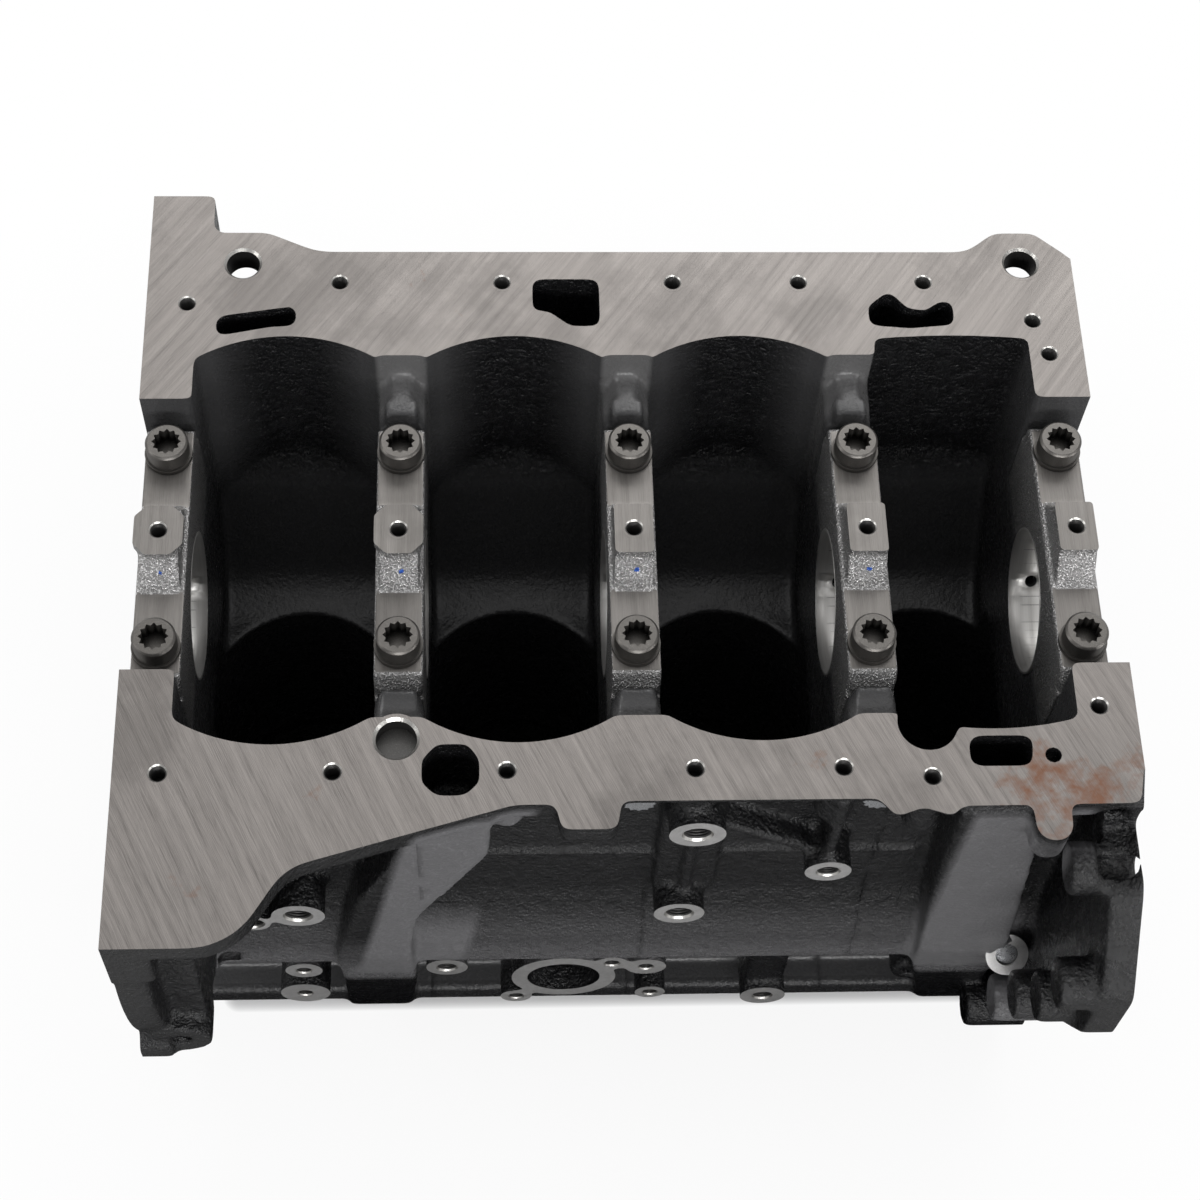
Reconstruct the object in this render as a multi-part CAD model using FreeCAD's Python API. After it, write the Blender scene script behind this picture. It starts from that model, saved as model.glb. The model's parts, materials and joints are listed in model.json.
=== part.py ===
import FreeCAD, Part
import math
import os

# Four-cylinder engine block, upside down: the deck face lies on the floor and the sump rail is on top.
# Millimetres. X runs along the crankshaft towards the timing end, +Z from the deck to the sump rail.
# The origin is on the deck face, under the centre main bearing.

V = FreeCAD.Vector

# ---- driving dimensions -------------------------------------------------------------------------
cylinder_count = 4
cylinder_pitch = 88.0
bore_diameter = 82.5
deck_to_crank = 220.0
crank_to_rail = 59.0
main_bore_diameter = 57.0
bore_top = 152.0                # where the cylinder boring stops, above the deck
bay_floor = 136.0               # floor of the crank bays
bay_far = 87.0                  # reach of the crank bays from the crank axis
bay_near = 88.5
bay_sag = 10.5                  # how far the bay walls draw in beside a web
web_thickness = 18.4
rear_bearing_offset = 45.0      # from the rearmost cylinder to the rear main bearing
front_bearing_offset = 35.5
rear_overhang = 10.6            # from the end bearings to the machined end faces
front_overhang = 12.5

rail_thickness = 12.0
near_rail_edge = 111.8
far_rail_edge = 127.6
rail_lip = 3.0                  # edge of the near rail above its undercut
rail_to_cap_gap = 1.5           # between a cap's end and the rail beside it
column_drop = 13.0              # from the rail down to the top of the cap columns
column_hood = 13.2              # width of the cast hood beside a cap
column_hood_length = 8.0
column_ridge = 6.4              # width of the ridge that runs on to the rail
column_shoulder = 9.0           # how far the ridge's flanks fall
column_fall = 15.0              # how far the near columns slope down towards the rail
rail_thread_diameter = 6.0
rail_thread_depth = 26.0
rail_boss_radius = 7.5
hoist_hole_diameter = 13.0

near_wall = 94.0                # outer face of the crankcase wall
far_wall = 95.0
tunnel_offset = 74.0            # balance-shaft tunnels, from the crank plane
tunnel_height = 112.0
tunnel_radius = 30.0
tunnel_bore = 44.0
parting_drop = 80.0             # from the rail to the mould's parting line on the near wall
parting_step = 2.0              # how far the wall stands out below it
jacket_wall = 70.0              # outer face of the water-jacket wall
deck_half_width = 84.0
deck_flange = 11.0
jacket_floor = 9.0              # metal left under the jacket at the deck
jacket_top = 85.0
liner_wall = 6.0
jacket_reach = 19.0             # from the bore wall to the jacket's outer wall
jacket_end_wall = 6.0           # metal left between the jacket and the end faces
head_bolt_offset = 46.0
head_bolt_end = 170.0
head_bolt_diameter = 11.0
head_bolt_depth = 92.0

cap_half_width = 58.0
cap_seat_drop = 15.0            # from the cap pad, level with the rail, to the bolt seats
cap_pad_half = 10.5
cap_pad_depth = 4.0             # straight sides of the pad, before the cast neck starts
cap_pad_corner = 4.5            # cut off each corner of the rear caps' pads
cap_neck = 15.0                 # width of the neck that carries the pad
cap_end_corner = 4.0            # rounding of a cap's ends in plan
narrow_pad = 14.6               # pad width of the front caps
cap_seat_start = 18.5
cap_pad_thread = 6.0
register_clearance = 0.1        # each side, between a cap and its pocket
main_bolt_edge = 16.0           # from a cap's end to its bolt
main_bolt_diameter = 10.0
main_bolt_reach = 118.0         # under the head
main_bolt_head_diameter = 16.4
main_bolt_head = 10.0
main_bolt_flange_diameter = 18.2
main_bolt_flange = 2.2
bolt_hole_clearance = 0.5
thread_clearance = 0.05
cross_bolt_drop = 28.0          # from the rail to the cross bolts
cross_bolt_diameter = 8.0
cross_bolt_head_diameter = 13.0
cross_bolt_head = 6.5
cross_bolt_grip = 9.5           # how far a cross bolt reaches into its cap
cross_bolt_flange = 2.0
oil_hole_diameter = 5.0         # feed holes in the bearing housings
oil_hole_reach = 46.0           # from the crank axis

flange_thickness = 12.0
bell_radius = 172.0             # bell-housing flange, about the crank axis
bell_low = 48.0
bell_bolt_radius = 150.0
bell_lobe_radius = 8.5
timing_flange = 12.0
thread_m8 = 8.0
thread_m10 = 10.0
pad_plane = 112.0               # machined accessory pads on the near wall
foot_plane = 160.0              # machined boss on the bell flange's foot
foot_boss_radius = 11.8
foot_boss_drop = 111.0          # from the rail to the foot's boss
core_plug_diameter = 32.0
core_plug_height = 50.0
core_plug_depth = 8.0
core_plug_wall = 1.6
core_plug_sink = 1.0            # how far a core plug sits below its seat's face
duct_plug_diameter = 9.2
duct_plug_depth = 9.0
duct_plug_sink = 1.6
duct_boss_radius = 8.9
duct_plug_tilt = 48.0           # of its axis, up from level
port_plane = 96.0               # machined water-port pads near the deck

# ---- values that follow -------------------------------------------------------------------------
crank_z = deck_to_crank
rail_z = deck_to_crank + crank_to_rail
seat_z = rail_z - cap_seat_drop
bore_r = bore_diameter / 2
main_r = main_bore_diameter / 2
cylinder_x = [(i - (cylinder_count - 1) / 2) * cylinder_pitch for i in range(cylinder_count)]
bearing_x = ([cylinder_x[0] - rear_bearing_offset]
             + [(a + b) / 2 for a, b in zip(cylinder_x, cylinder_x[1:])]
             + [cylinder_x[-1] + front_bearing_offset])
rear_face = bearing_x[0] - rear_overhang
front_face = bearing_x[-1] + front_overhang
half_web = web_thickness / 2
rail_inner = cap_half_width + rail_to_cap_gap
main_bolt_offset = cap_half_width - main_bolt_edge
cross_z = rail_z - cross_bolt_drop
column_z = rail_z - column_drop
rail_low = rail_z - rail_thickness
parting_z = rail_z - parting_drop


# ---- shape helpers ------------------------------------------------------------------------------
def on_xy(z):
    return lambda u, v: V(u, v, z)


def on_yz(x):
    return lambda u, v: V(x, u, v)


def on_xz(y):
    return lambda u, v: V(u, y, v)


def rounded_wire(corners, place):
    """A closed wire through (u, v, radius) corners, each rounded by its own radius."""
    count = len(corners)
    tangents = []
    for i, (u, v, radius) in enumerate(corners):
        here = V(u, v, 0)
        before = V(*corners[i - 1][:2], 0) - here
        after = V(*corners[(i + 1) % count][:2], 0) - here
        before.normalize()
        after.normalize()
        half = before.getAngle(after) / 2
        reach = radius / math.tan(half) if radius else 0.0
        middle = before + after
        if radius:
            middle.normalize()
            middle = here + middle * (radius / math.sin(half) - radius)
        tangents.append((here + before * reach, middle, here + after * reach, radius))
    edges = []
    for i, (start, middle, end, radius) in enumerate(tangents):
        a, b = place(start.x, start.y), place(end.x, end.y)
        if radius:
            edges.append(Part.Arc(a, place(middle.x, middle.y), b).toShape())
        following = tangents[(i + 1) % count][0]
        c = place(following.x, following.y)
        if (c - b).Length > 1e-6:
            edges.append(Part.LineSegment(b, c).toShape())
    return Part.Wire(edges)


def prism(corners, place, along):
    return Part.Face(rounded_wire(corners, place)).extrude(along)


def slab(corners, z_low, z_high):
    return prism(corners, on_xy(z_low), V(0, 0, z_high - z_low))


def section_bar(corners, x_low, x_high):
    return prism(corners, on_yz(x_low), V(x_high - x_low, 0, 0))


def box(x, y, z):
    return Part.makeBox(x[1] - x[0], y[1] - y[0], z[1] - z[0], V(x[0], y[0], z[0]))


def rod(radius, start, end):
    return Part.makeCylinder(radius, (end - start).Length, start, end - start)


def cone(radius_start, radius_end, start, end):
    return Part.makeCone(radius_start, radius_end, (end - start).Length, start, end - start)


def threaded_hole(radius, mouth, into, depth):
    """A blind hole with a chamfered mouth."""
    way = V(into)
    way.normalize()
    lip = radius * 0.18
    return [rod(radius, mouth, mouth + way * depth), cone(radius + lip, radius, mouth, mouth + way * lip)]


def duct(outline, profile):
    """A raised duct: its outline seen from the side, met with its profile along the wall."""
    reach = 40.0
    deepest = min(y for y, _, _ in profile)
    seen = prism(outline, on_xz(deepest - 1), V(0, reach + abs(deepest), 0))
    xs = [x for x, _, _ in outline]
    return seen.common(section_bar(profile, min(xs) - 1, max(xs) + 1))


def save(shape, name):
    shape.exportStep("parts/" + name + ".step")
    print(name, "solids", len(shape.Solids), "valid", shape.isValid(),
          "faces", len(shape.Faces), "cm3", round(shape.Volume / 1000, 1))


# ---- hole and boss layout -----------------------------------------------------------------------
near_rail_holes = [(rear_face + 16.1, -99.3)] + [(x, -99.3) for x in (-110.2, -48.5, 18.5, 71.6)]
near_rail_holes += [(103.2, -103.2), (front_face - 13.4, -75.8)]
far_rail_holes = [(rear_face + 15.9, 102.6)] + [(x, 112.8) for x in (-112.4, -48.5, 19.1, 69.3, 119.3)]
far_rail_holes += [(front_face - 18.7, 94.2), (front_face - 13.8, 78.4)]
plain_rail_holes = [(147.5, -95.3)]
hoist_holes = [(rear_face + 36.9, 121.9), (front_face - 20.5, 122.2)]
plug_bore_at = (bearing_x[1] + 0.2, -86.6)
plug_bore_diameter = 17.0
plug_bore_depth = 7.0
plug_thickness = 3.0
plug_bore_wall = 2.8
plug_boss_depth = 40.0

# accessory pads on the near wall: x, z, pad radius, thread diameter
accessory_pads = [(20.9, 248.7, 10.6, thread_m10), (72.9, 212.5, 9.0, thread_m8), (19.2, 171.4, 10.1, thread_m10),
                  (-129.1, 173.4, 10.5, thread_m10), (-147.1, 165.8, 7.0, thread_m8)]
shoulder_pad = (front_face - 8.2, 263.0, 9.8, thread_m8)    # milled into the timing flange
# pads near the deck: x, z, pad radius, thread diameter
port_pads = [(66.3, 30.5, 10.2, thread_m8), (-134.2, 69.5, 8.1, 6.0), (-135.4, 41.6, 10.9, 6.0),
             (-73.2, 71.2, 9.0, thread_m8), (12.3, 69.0, 8.8, 6.0), (15.7, 37.0, 6.9, 6.0),
             (129.4, 58.2, 9.6, thread_m8)]
water_port = (-22.9, 57.6, 15.2)
water_port_ring = 22.6
far_pads = [(-100.0, 215.0), (-30.0, 215.0), (60.0, 215.0), (-100.0, 165.0), (60.0, 165.0)]


# ---- the casting --------------------------------------------------------------------------------
def crankcase_body():
    """Crankcase walls, tunnels and jacket walls as one section along the crankshaft."""
    n, f = near_wall, far_wall
    top = tunnel_height + tunnel_radius
    bulge = tunnel_offset + tunnel_radius
    outline = [(-n, rail_z, 0), (-n - parting_step, parting_z, 0), (-n - parting_step, top + 18, tunnel_radius),
               (-bulge, tunnel_height + 16, tunnel_radius),
               (-bulge, tunnel_height - tunnel_radius, tunnel_radius - 6),
               (-jacket_wall, tunnel_height - tunnel_radius, 3),
               (-jacket_wall, deck_flange, 3), (-deck_half_width, deck_flange, 2), (-deck_half_width, 0, 0),
               (deck_half_width, 0, 0), (deck_half_width, deck_flange, 2), (jacket_wall, deck_flange, 3),
               (jacket_wall, tunnel_height - tunnel_radius, 3),
               (tunnel_offset + tunnel_radius, tunnel_height - tunnel_radius, tunnel_radius - 6),
               (tunnel_offset + tunnel_radius, top, 10), (f, top + 30, 8), (f, rail_z, 0)]
    return section_bar(outline, rear_face, front_face)


def far_rail():
    ear_y = far_rail_edge + 27.6
    swell = far_rail_edge + 9.4
    outline = [(rear_face, rail_inner, 0), (rear_face, ear_y, 0), (rear_face + 24.6, ear_y, 2),
               (rear_face + 24.6, swell, 4), (rear_face + 46, swell, 12), (rear_face + 66, far_rail_edge, 26),
               (front_face - 42, far_rail_edge, 14), (front_face - 30, swell, 8), (front_face - 14, swell, 6),
               (front_face, far_rail_edge - 3, 6), (front_face, far_rail_edge - 23, 4),
               (front_face - 8.5, far_rail_edge - 58, 6), (front_face - 8.5, rail_inner, 0)]
    return slab(outline, rail_low, rail_z)


def near_rail():
    n = near_rail_edge
    corner_y = bell_radius - 7.2
    lug = n + 10.6
    outline = [(rear_face, -rail_inner - 1, 0), (rear_face, -corner_y, 0), (rear_face + 44, -corner_y, 26),
               (rear_face + 62, -corner_y + 29, 20), (bearing_x[2] - 46, -n - 1, 20), (bearing_x[2] - 31.5, -n - 1, 2),
               (bearing_x[2] - 29.5, -lug, 3), (bearing_x[2] - 10, -lug, 3), (bearing_x[2] - 8, -n, 2),
               (83, -n, 2), (89, -n - 7, 3), (99, -n - 3.5, 6), (109, -n - 7, 3), (113, -n - 3, 3),
               (front_face - 3, -n - 2.6, 3), (front_face - 0.5, -n + 12, 2), (front_face - 0.5, -82.5, 2),
               (front_face - 5.2, -79, 3), (front_face - 5.2, -71, 4), (front_face - 11, -65, 3),
               (bearing_x[-1] - half_web - 2, -65, 0), (bearing_x[-1] - half_web - 2, -rail_inner, 0)]
    x, y, r = 144.8, -n - 10.2, 6.6
    lobe = slab([(x - r, y - r, r - 0.1), (x + r, y - r, r - 0.1), (x + r, -n + 4, 0), (x - r, -n + 4, 0)],
                rail_low - 6, rail_z)
    under = section_bar([(-n - 12, rail_low - 1, 0), (-n - 12, rail_z - rail_lip, 0), (-n, rail_z - rail_lip, 0),
                         (-n + 14, rail_low - 1, 0)], bearing_x[2] - 8, front_face - 67)
    return [slab(outline, rail_low, rail_z).cut(under), lobe]


def bell_flange():
    """Round bell-housing flange about the crank axis, with its bolt lobes and the foot below it."""
    thick = V(flange_thickness, 0, 0)
    centre = V(rear_face, 0, crank_z)
    disc = rod(bell_radius - 8, centre, centre + thick)
    keep = box((rear_face, rear_face + flange_thickness), (-bell_radius, bell_radius), (bell_low, rail_z))
    pieces = [disc.common(keep)]
    for y, z in bell_bolts():
        pieces.append(rod(bell_lobe_radius, V(rear_face, y, z), V(rear_face + 22, y, z)))
    corner_y = bell_radius - 7.2
    pieces.append(box((rear_face, rear_face + 16), (-corner_y, -corner_y + 60), (rail_z - 34, rail_z)))
    x, z = foot_boss_at()
    plate_low = z - foot_boss_radius
    lip = section_bar([(-corner_y, rail_low, 0), (-corner_y, z + 79, 4), (-foot_plane, z + 60, 6),
                       (-foot_plane + 6, z + 5, 5), (-foot_plane - 3, z - 1, 3), (-foot_plane - 3, plate_low, 3),
                       (-foot_plane + 12, plate_low, 3), (-near_wall, parting_z, 10), (-near_wall, rail_low, 0)],
                      rear_face, rear_face + flange_thickness)
    column = section_bar([(-foot_plane + 14, rail_low, 0), (-foot_plane + 8, z + foot_boss_radius, 6),
                          (-foot_plane + 8, plate_low, 4), (-foot_plane + 26, plate_low, 8),
                          (-near_wall, parting_z, 20), (-near_wall, rail_low, 0)], rear_face + 3, rear_face + 26)
    boss = rod(foot_boss_radius, V(x, -foot_plane + 40, z), V(x, -foot_plane, z))
    pieces += [lip, column, boss]
    pieces.append(section_bar([(far_rail_edge + 27.6, rail_z, 0), (far_rail_edge + 27.6, rail_z - 34, 8),
                               (100, 200, 10), (100, rail_z, 0)], rear_face, rear_face + 24.6))
    return pieces


def foot_boss_at():
    return rear_face + 15.6, rail_z - foot_boss_drop


def bell_bolts():
    """Bell-housing bolt centres as (y, z), on a circle about the crank axis."""
    angles = (-158, -132, -48, -22, 12)
    points = [(bell_bolt_radius * math.cos(math.radians(a)), crank_z + bell_bolt_radius * math.sin(math.radians(a)))
              for a in angles]
    return points


def timing_bolts():
    return [(-128, 252), (-158, 214), (-150, 178), (-135, 138), (-122, 98), (-104, 40),
            (104, 40), (110, 98), (113, 158), (112, 214)]


def timing_flange_plate():
    outline = [(-near_rail_edge + 12, rail_z - 0.5, 0), (-near_rail_edge, rail_z - 8, 4), (-140, 254, 10),
               (-168, 222, 10), (-168, 186, 10), (-150, 150, 12), (-134, 104, 20), (-112, 40, 16), (-86, 0, 0),
               (86, 0, 0), (114, 40, 12), (122, 110, 20), (124, 240, 8), (far_rail_edge - 4, rail_z, 0)]
    plate = section_bar(outline, front_face - timing_flange, front_face)
    lobes = [rod(10.0, V(front_face - 26, y, z), V(front_face, y, z)) for y, z in timing_bolts()]
    return [plate] + lobes


def near_details():
    """Ducts, pads, columns and ribs on the near wall."""
    top = rail_z - 3
    rear_outline = [(-81, top, 0), (-93, 224, 20), (-106, 188, 40), (-117, 125, 60), (-118, 0, 0), (-90, 0, 0),
                    (-86, 60, 60), (-86, 140, 60), (-83, 170, 40), (-55, 236, 24), (-54, top, 0)]
    front_outline = [(113, top, 0), (115, 200, 60), (122, 100, 60), (141, 0, 0), (166, 0, 0), (158, 100, 60),
                     (154, 165, 60), (146.5, 250, 30), (146.5, top, 0)]
    profile = [(-117, top, 0), (-114, 225, 60), (-112, 125, 40), (-100, 66, 30), (-86, 0, 0), (-66, 0, 0),
               (-66, top, 0)]
    pieces = [duct(rear_outline, profile), duct(front_outline, profile)]
    for x, z, radius, _ in accessory_pads:
        pieces.append(rod(radius, V(x, -near_wall + 8, z), V(x, -pad_plane, z)))
    face, inward = duct_plug_place()
    pieces.append(rod(duct_boss_radius, face, face + inward * 24))
    for x, z, radius, _ in port_pads:
        pieces.append(rod(radius, V(x, -jacket_wall + 4, z), V(x, -port_plane, z)))
    x, z, _ = water_port
    pieces.append(rod(water_port_ring, V(x, -jacket_wall + 4, z), V(x, -port_plane, z)))
    for ear_x, ear_z in ((x - 20.4, z - 23.4), (x + 20.4, z + 16)):
        pieces.append(rod(7.0, V(ear_x, -jacket_wall + 4, ear_z), V(ear_x, -port_plane, ear_z)))
    first, second, third = accessory_pads[:3]
    pieces.append(box((first[0] - 12, first[0] + 12), (-near_wall - 8, -near_wall + 2), (third[1], first[1])))
    pieces.append(box((first[0] - 2, first[0] + 2), (-near_wall - 12, -near_wall + 2), (third[1], first[1])))
    rib = section_bar([(-near_wall + 4, rail_low + 2, 0), (-pad_plane + 3, rail_low + 2, 0),
                       (-pad_plane + 3, second[1], 0), (-near_wall + 4, second[1] - 20, 0)],
                      second[0] - 2.5, second[0] + 2.5)
    pieces.append(rib)
    tie = Part.makeBox(math.hypot(second[0] - first[0], second[1] - first[1]), 14, 5,
                       V(first[0], -near_wall - 12, first[1] - 2.5))
    tie.rotate(V(*[first[0], 0, first[1]]), V(0, -1, 0),
               math.degrees(math.atan2(second[1] - first[1], second[0] - first[0])))
    pieces.append(tie)
    post = port_pads[0]
    pieces.append(box((post[0] - 9, post[0] + 9), (-port_plane + 4, -jacket_wall + 4), (post[1], tunnel_height)))
    parting = box((rear_face + 60, front_face - 70), (-near_wall - 4.5, -near_wall + 4),
                  (parting_z - 1, parting_z + 1))
    pieces.append(parting)
    return pieces


def duct_plug_place():
    """The face centre of the plugged boss on the front duct, and the direction into the metal."""
    tilt = math.radians(duct_plug_tilt)
    return V(front_face - 23, -pad_plane - 1.5, 125.0), V(0, math.cos(tilt), -math.sin(tilt))


def far_details():
    """Drain ducts behind the rail windows, pads and ribs on the far wall."""
    pieces = []
    profile = [(far_wall - 6, 140, 0), (far_wall, 140, 6), (far_rail_edge - 6.5, 190, 20),
               (far_rail_edge - 6.5, rail_low + 2, 0), (far_wall - 6, rail_low + 2, 0)]
    for x, half in ((-144, 21), (-23, 20), (113, 22)):
        pieces.append(section_bar(profile, x - half, x + half))
    for x, z in far_pads:
        pieces.append(rod(11.0, V(x, far_wall - 8, z), V(x, far_rail_edge - 6, z)))
        pieces.append(box((x - 2.5, x + 2.5), (far_wall - 6, far_rail_edge - 12), (z, rail_low + 2)))
    return pieces


def rail_bosses():
    """Columns under the rail that carry its bolt threads."""
    pieces = []
    for x, y in near_rail_holes + far_rail_holes:
        foot = V(x, y, rail_z - rail_thread_depth - 8)
        pieces.append(rod(rail_boss_radius, foot, V(x, y, rail_z)))
    for x, y in hoist_holes:
        pieces.append(rod(hoist_hole_diameter / 2 + 6.5, V(x, y, rail_low), V(x, y, rail_z)))
    return pieces


def crank_bay(x_low, x_high, middle, far, near, far_sag, near_sag):
    """One crank bay: bowed walls in plan, swept to the crank's swing in section."""
    top = rail_z + 5

    def corner(x, y):
        return V(x, y, bay_floor - 1)

    far_arc = Part.Arc(corner(x_low, far - far_sag), corner(middle, far), corner(x_high, far - far_sag))
    near_arc = Part.Arc(corner(x_high, near_sag - near), corner(middle, -near), corner(x_low, near_sag - near))
    wire = Part.Wire([far_arc.toShape(),
                      Part.LineSegment(corner(x_high, far - far_sag), corner(x_high, near_sag - near)).toShape(),
                      near_arc.toShape(),
                      Part.LineSegment(corner(x_low, near_sag - near), corner(x_low, far - far_sag)).toShape()])
    plan = Part.Face(wire).extrude(V(0, 0, top - bay_floor + 1))
    swing = section_bar([(-near - 2, top, 0), (-near - 2, crank_z - 22, 60), (-52, bay_floor, 30),
                         (52, bay_floor, 30), (far + 2, crank_z - 22, 60), (far + 2, top, 0)],
                        x_low - 1, x_high + 1)
    return plan.common(swing)


def plug_boss():
    """The round boss that carries the rail's plugged bore, half of it standing in a crank bay."""
    x, y = plug_bore_at
    return rod(plug_bore_diameter / 2 + plug_bore_wall, V(x, y, rail_z - plug_boss_depth), V(x, y, rail_z))


def bay_cuts():
    cuts = []
    for i, middle in enumerate(cylinder_x):
        low = bearing_x[i] + half_web
        high = bearing_x[i + 1] - half_web
        last = i == cylinder_count - 1
        far_sag = 1.5 if last else bay_sag
        near = bay_near - 4 if last else bay_near
        near_sag = 4.0 if last else bay_sag
        bay = crank_bay(low, high, middle, bay_far, near, far_sag, near_sag)
        cuts.append(bay.cut(plug_boss()))
    scallop = V(bearing_x[3] + half_web + 6, -82, crank_z)
    cuts.append(rod(11.0, scallop, V(scallop.x, scallop.y, rail_z + 1)))
    return cuts


def web_cuts():
    """Pockets that the main caps drop into, and the lowered tops of the columns beside them."""
    cuts = []
    pocket = cap_half_width + register_clearance
    for i, x in enumerate(bearing_x):
        low = rear_face - 1 if i == 0 else x - half_web - 0.5
        high = front_face + 1 if i == len(bearing_x) - 1 else x + half_web + 0.5
        cuts.append(box((low, high), (-pocket, pocket), (crank_z, rail_z + 1)))
        if 0 < i < len(bearing_x) - 1:
            cuts += column_cuts(x, low, high)
    return cuts


def column_cuts(x, low, high):
    """Shapes the two cast columns beside a middle cap: hood and ridge on the far side, a slope on the near side."""
    reach = bay_near - bay_sag
    over = rail_z + 1
    hood_end = cap_half_width + column_hood_length
    cuts = [box((low, high), (-reach, reach), (column_z, over))]
    near_low = column_z - column_fall
    cuts.append(section_bar([(-cap_half_width, over, 0), (-cap_half_width, column_z - 3, 0), (-hood_end, column_z - 5, 4),
                             (-reach, near_low, 6), (-reach, over, 0)], low, high))
    for side in (-1, 1):
        edge = low if side < 0 else high
        hood = x + side * column_hood / 2
        ridge = x + side * column_ridge / 2
        cuts.append(box(sorted((hood, edge)), (cap_half_width, hood_end), (column_z - column_shoulder, over)))
        flank = [(ridge, over, 0), (ridge, column_z, 0), (edge, column_z - column_shoulder, 0), (edge, over, 0)]
        cuts.append(prism(flank, on_xz(hood_end), V(0, reach - hood_end, 0)))
        near_flank = [(hood, over, 0), (hood, column_z - 4, 0), (edge, column_z - column_fall, 0), (edge, over, 0)]
        cuts.append(prism(near_flank, on_xz(-reach), V(0, reach - cap_half_width, 0)))
    return cuts


def oil_cuts():
    """Feed holes that slant from each bearing housing into its web."""
    cuts = []
    slant = V(0, math.sqrt(0.5), -math.sqrt(0.5))
    for x in bearing_x:
        axis = V(x, 0, crank_z)
        cuts.append(rod(oil_hole_diameter / 2, axis, axis + slant * oil_hole_reach))
    return cuts


def cylinder_cuts():
    cuts = []
    for x in cylinder_x:
        cuts.append(rod(bore_r, V(x, 0, -1), V(x, 0, bore_top)))
        cuts.append(cone(bore_r + 1.2, bore_r, V(x, 0, 0), V(x, 0, 1.2)))
    return cuts


def jacket_cut():
    """Water jacket round the joined barrels, with the head-bolt columns left standing in it."""
    low, high = V(0, 0, jacket_floor), V(0, 0, jacket_top)
    outer = [rod(bore_r + jacket_reach, V(x, 0, 0) + low, V(x, 0, 0) + high) for x in cylinder_x]
    inner = [rod(bore_r + liner_wall, V(x, 0, 0) + low, V(x, 0, 0) + high) for x in cylinder_x]
    columns = [rod(head_bolt_diameter / 2 + 5, V(x, y, 0) + low, V(x, y, 0) + high) for x, y in head_bolts()]
    ends = box((rear_face + jacket_end_wall, front_face - jacket_end_wall), (-jacket_wall, jacket_wall),
               (jacket_floor, jacket_top))
    jacket = outer[0].fuse(outer[1:]).common(ends).cut(inner + columns)
    slots = []
    for x in cylinder_x:
        for side in (-1, 1):
            for shift in (-24, 24):
                angle = math.radians(90 * side + shift)
                reach = bore_r + liner_wall + 5
                at = V(x + reach * math.cos(angle), reach * math.sin(angle), -1)
                slots.append(rod(4.0, at, at + V(0, 0, jacket_floor + 2)))
    return [jacket] + slots


def head_bolts():
    places = [-head_bolt_end] + bearing_x[1:-1] + [head_bolt_end]
    return [(x, side * head_bolt_offset) for x in places for side in (-1, 1)]


def window_cuts():
    """Openings in the rail face that lead into the drain ducts."""
    drop = rail_z - 85
    cuts = [slab([(-160, 87, 3), (-160, 96.4, 4), (-129, 101.4, 3), (-129, 92, 3), (-139, 91.4, 3)], drop, rail_z + 1),
            slab([(-36.5, 99.5, 2), (-36.5, 114.2, 3), (-10.2, 114.2, 3), (-10.2, 91.7, 3), (-21.8, 91.7, 3),
                  (-30, 98.5, 3)], drop, rail_z + 1),
            slab([(96.2, 92, 3), (96.2, 101, 3), (105, 108.6, 2.5), (112, 100, 4), (119, 99, 3), (125, 103.4, 2),
                  (130, 103.4, 2), (130, 92.2, 3), (112, 90.5, 3)], drop, rail_z + 1),
            slab([(117.4, -99.4, 3), (139.5, -99.4, 3), (140.8, -87.4, 3), (117.4, -87.4, 4)], drop, rail_z + 1)]
    rear_x = bearing_x[1] + 19.5
    cuts.append(slab([(rear_x - 10.2, -104, 0), (rear_x - 5, -109, 2), (rear_x + 5, -109, 2), (rear_x + 10.2, -104, 2),
                      (rear_x + 10.2, -95, 2), (rear_x + 6, -89, 2), (rear_x - 5, -89, 2), (rear_x - 10.2, -95, 2)],
                     rail_z - 34, rail_z + 1))
    return cuts


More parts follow.
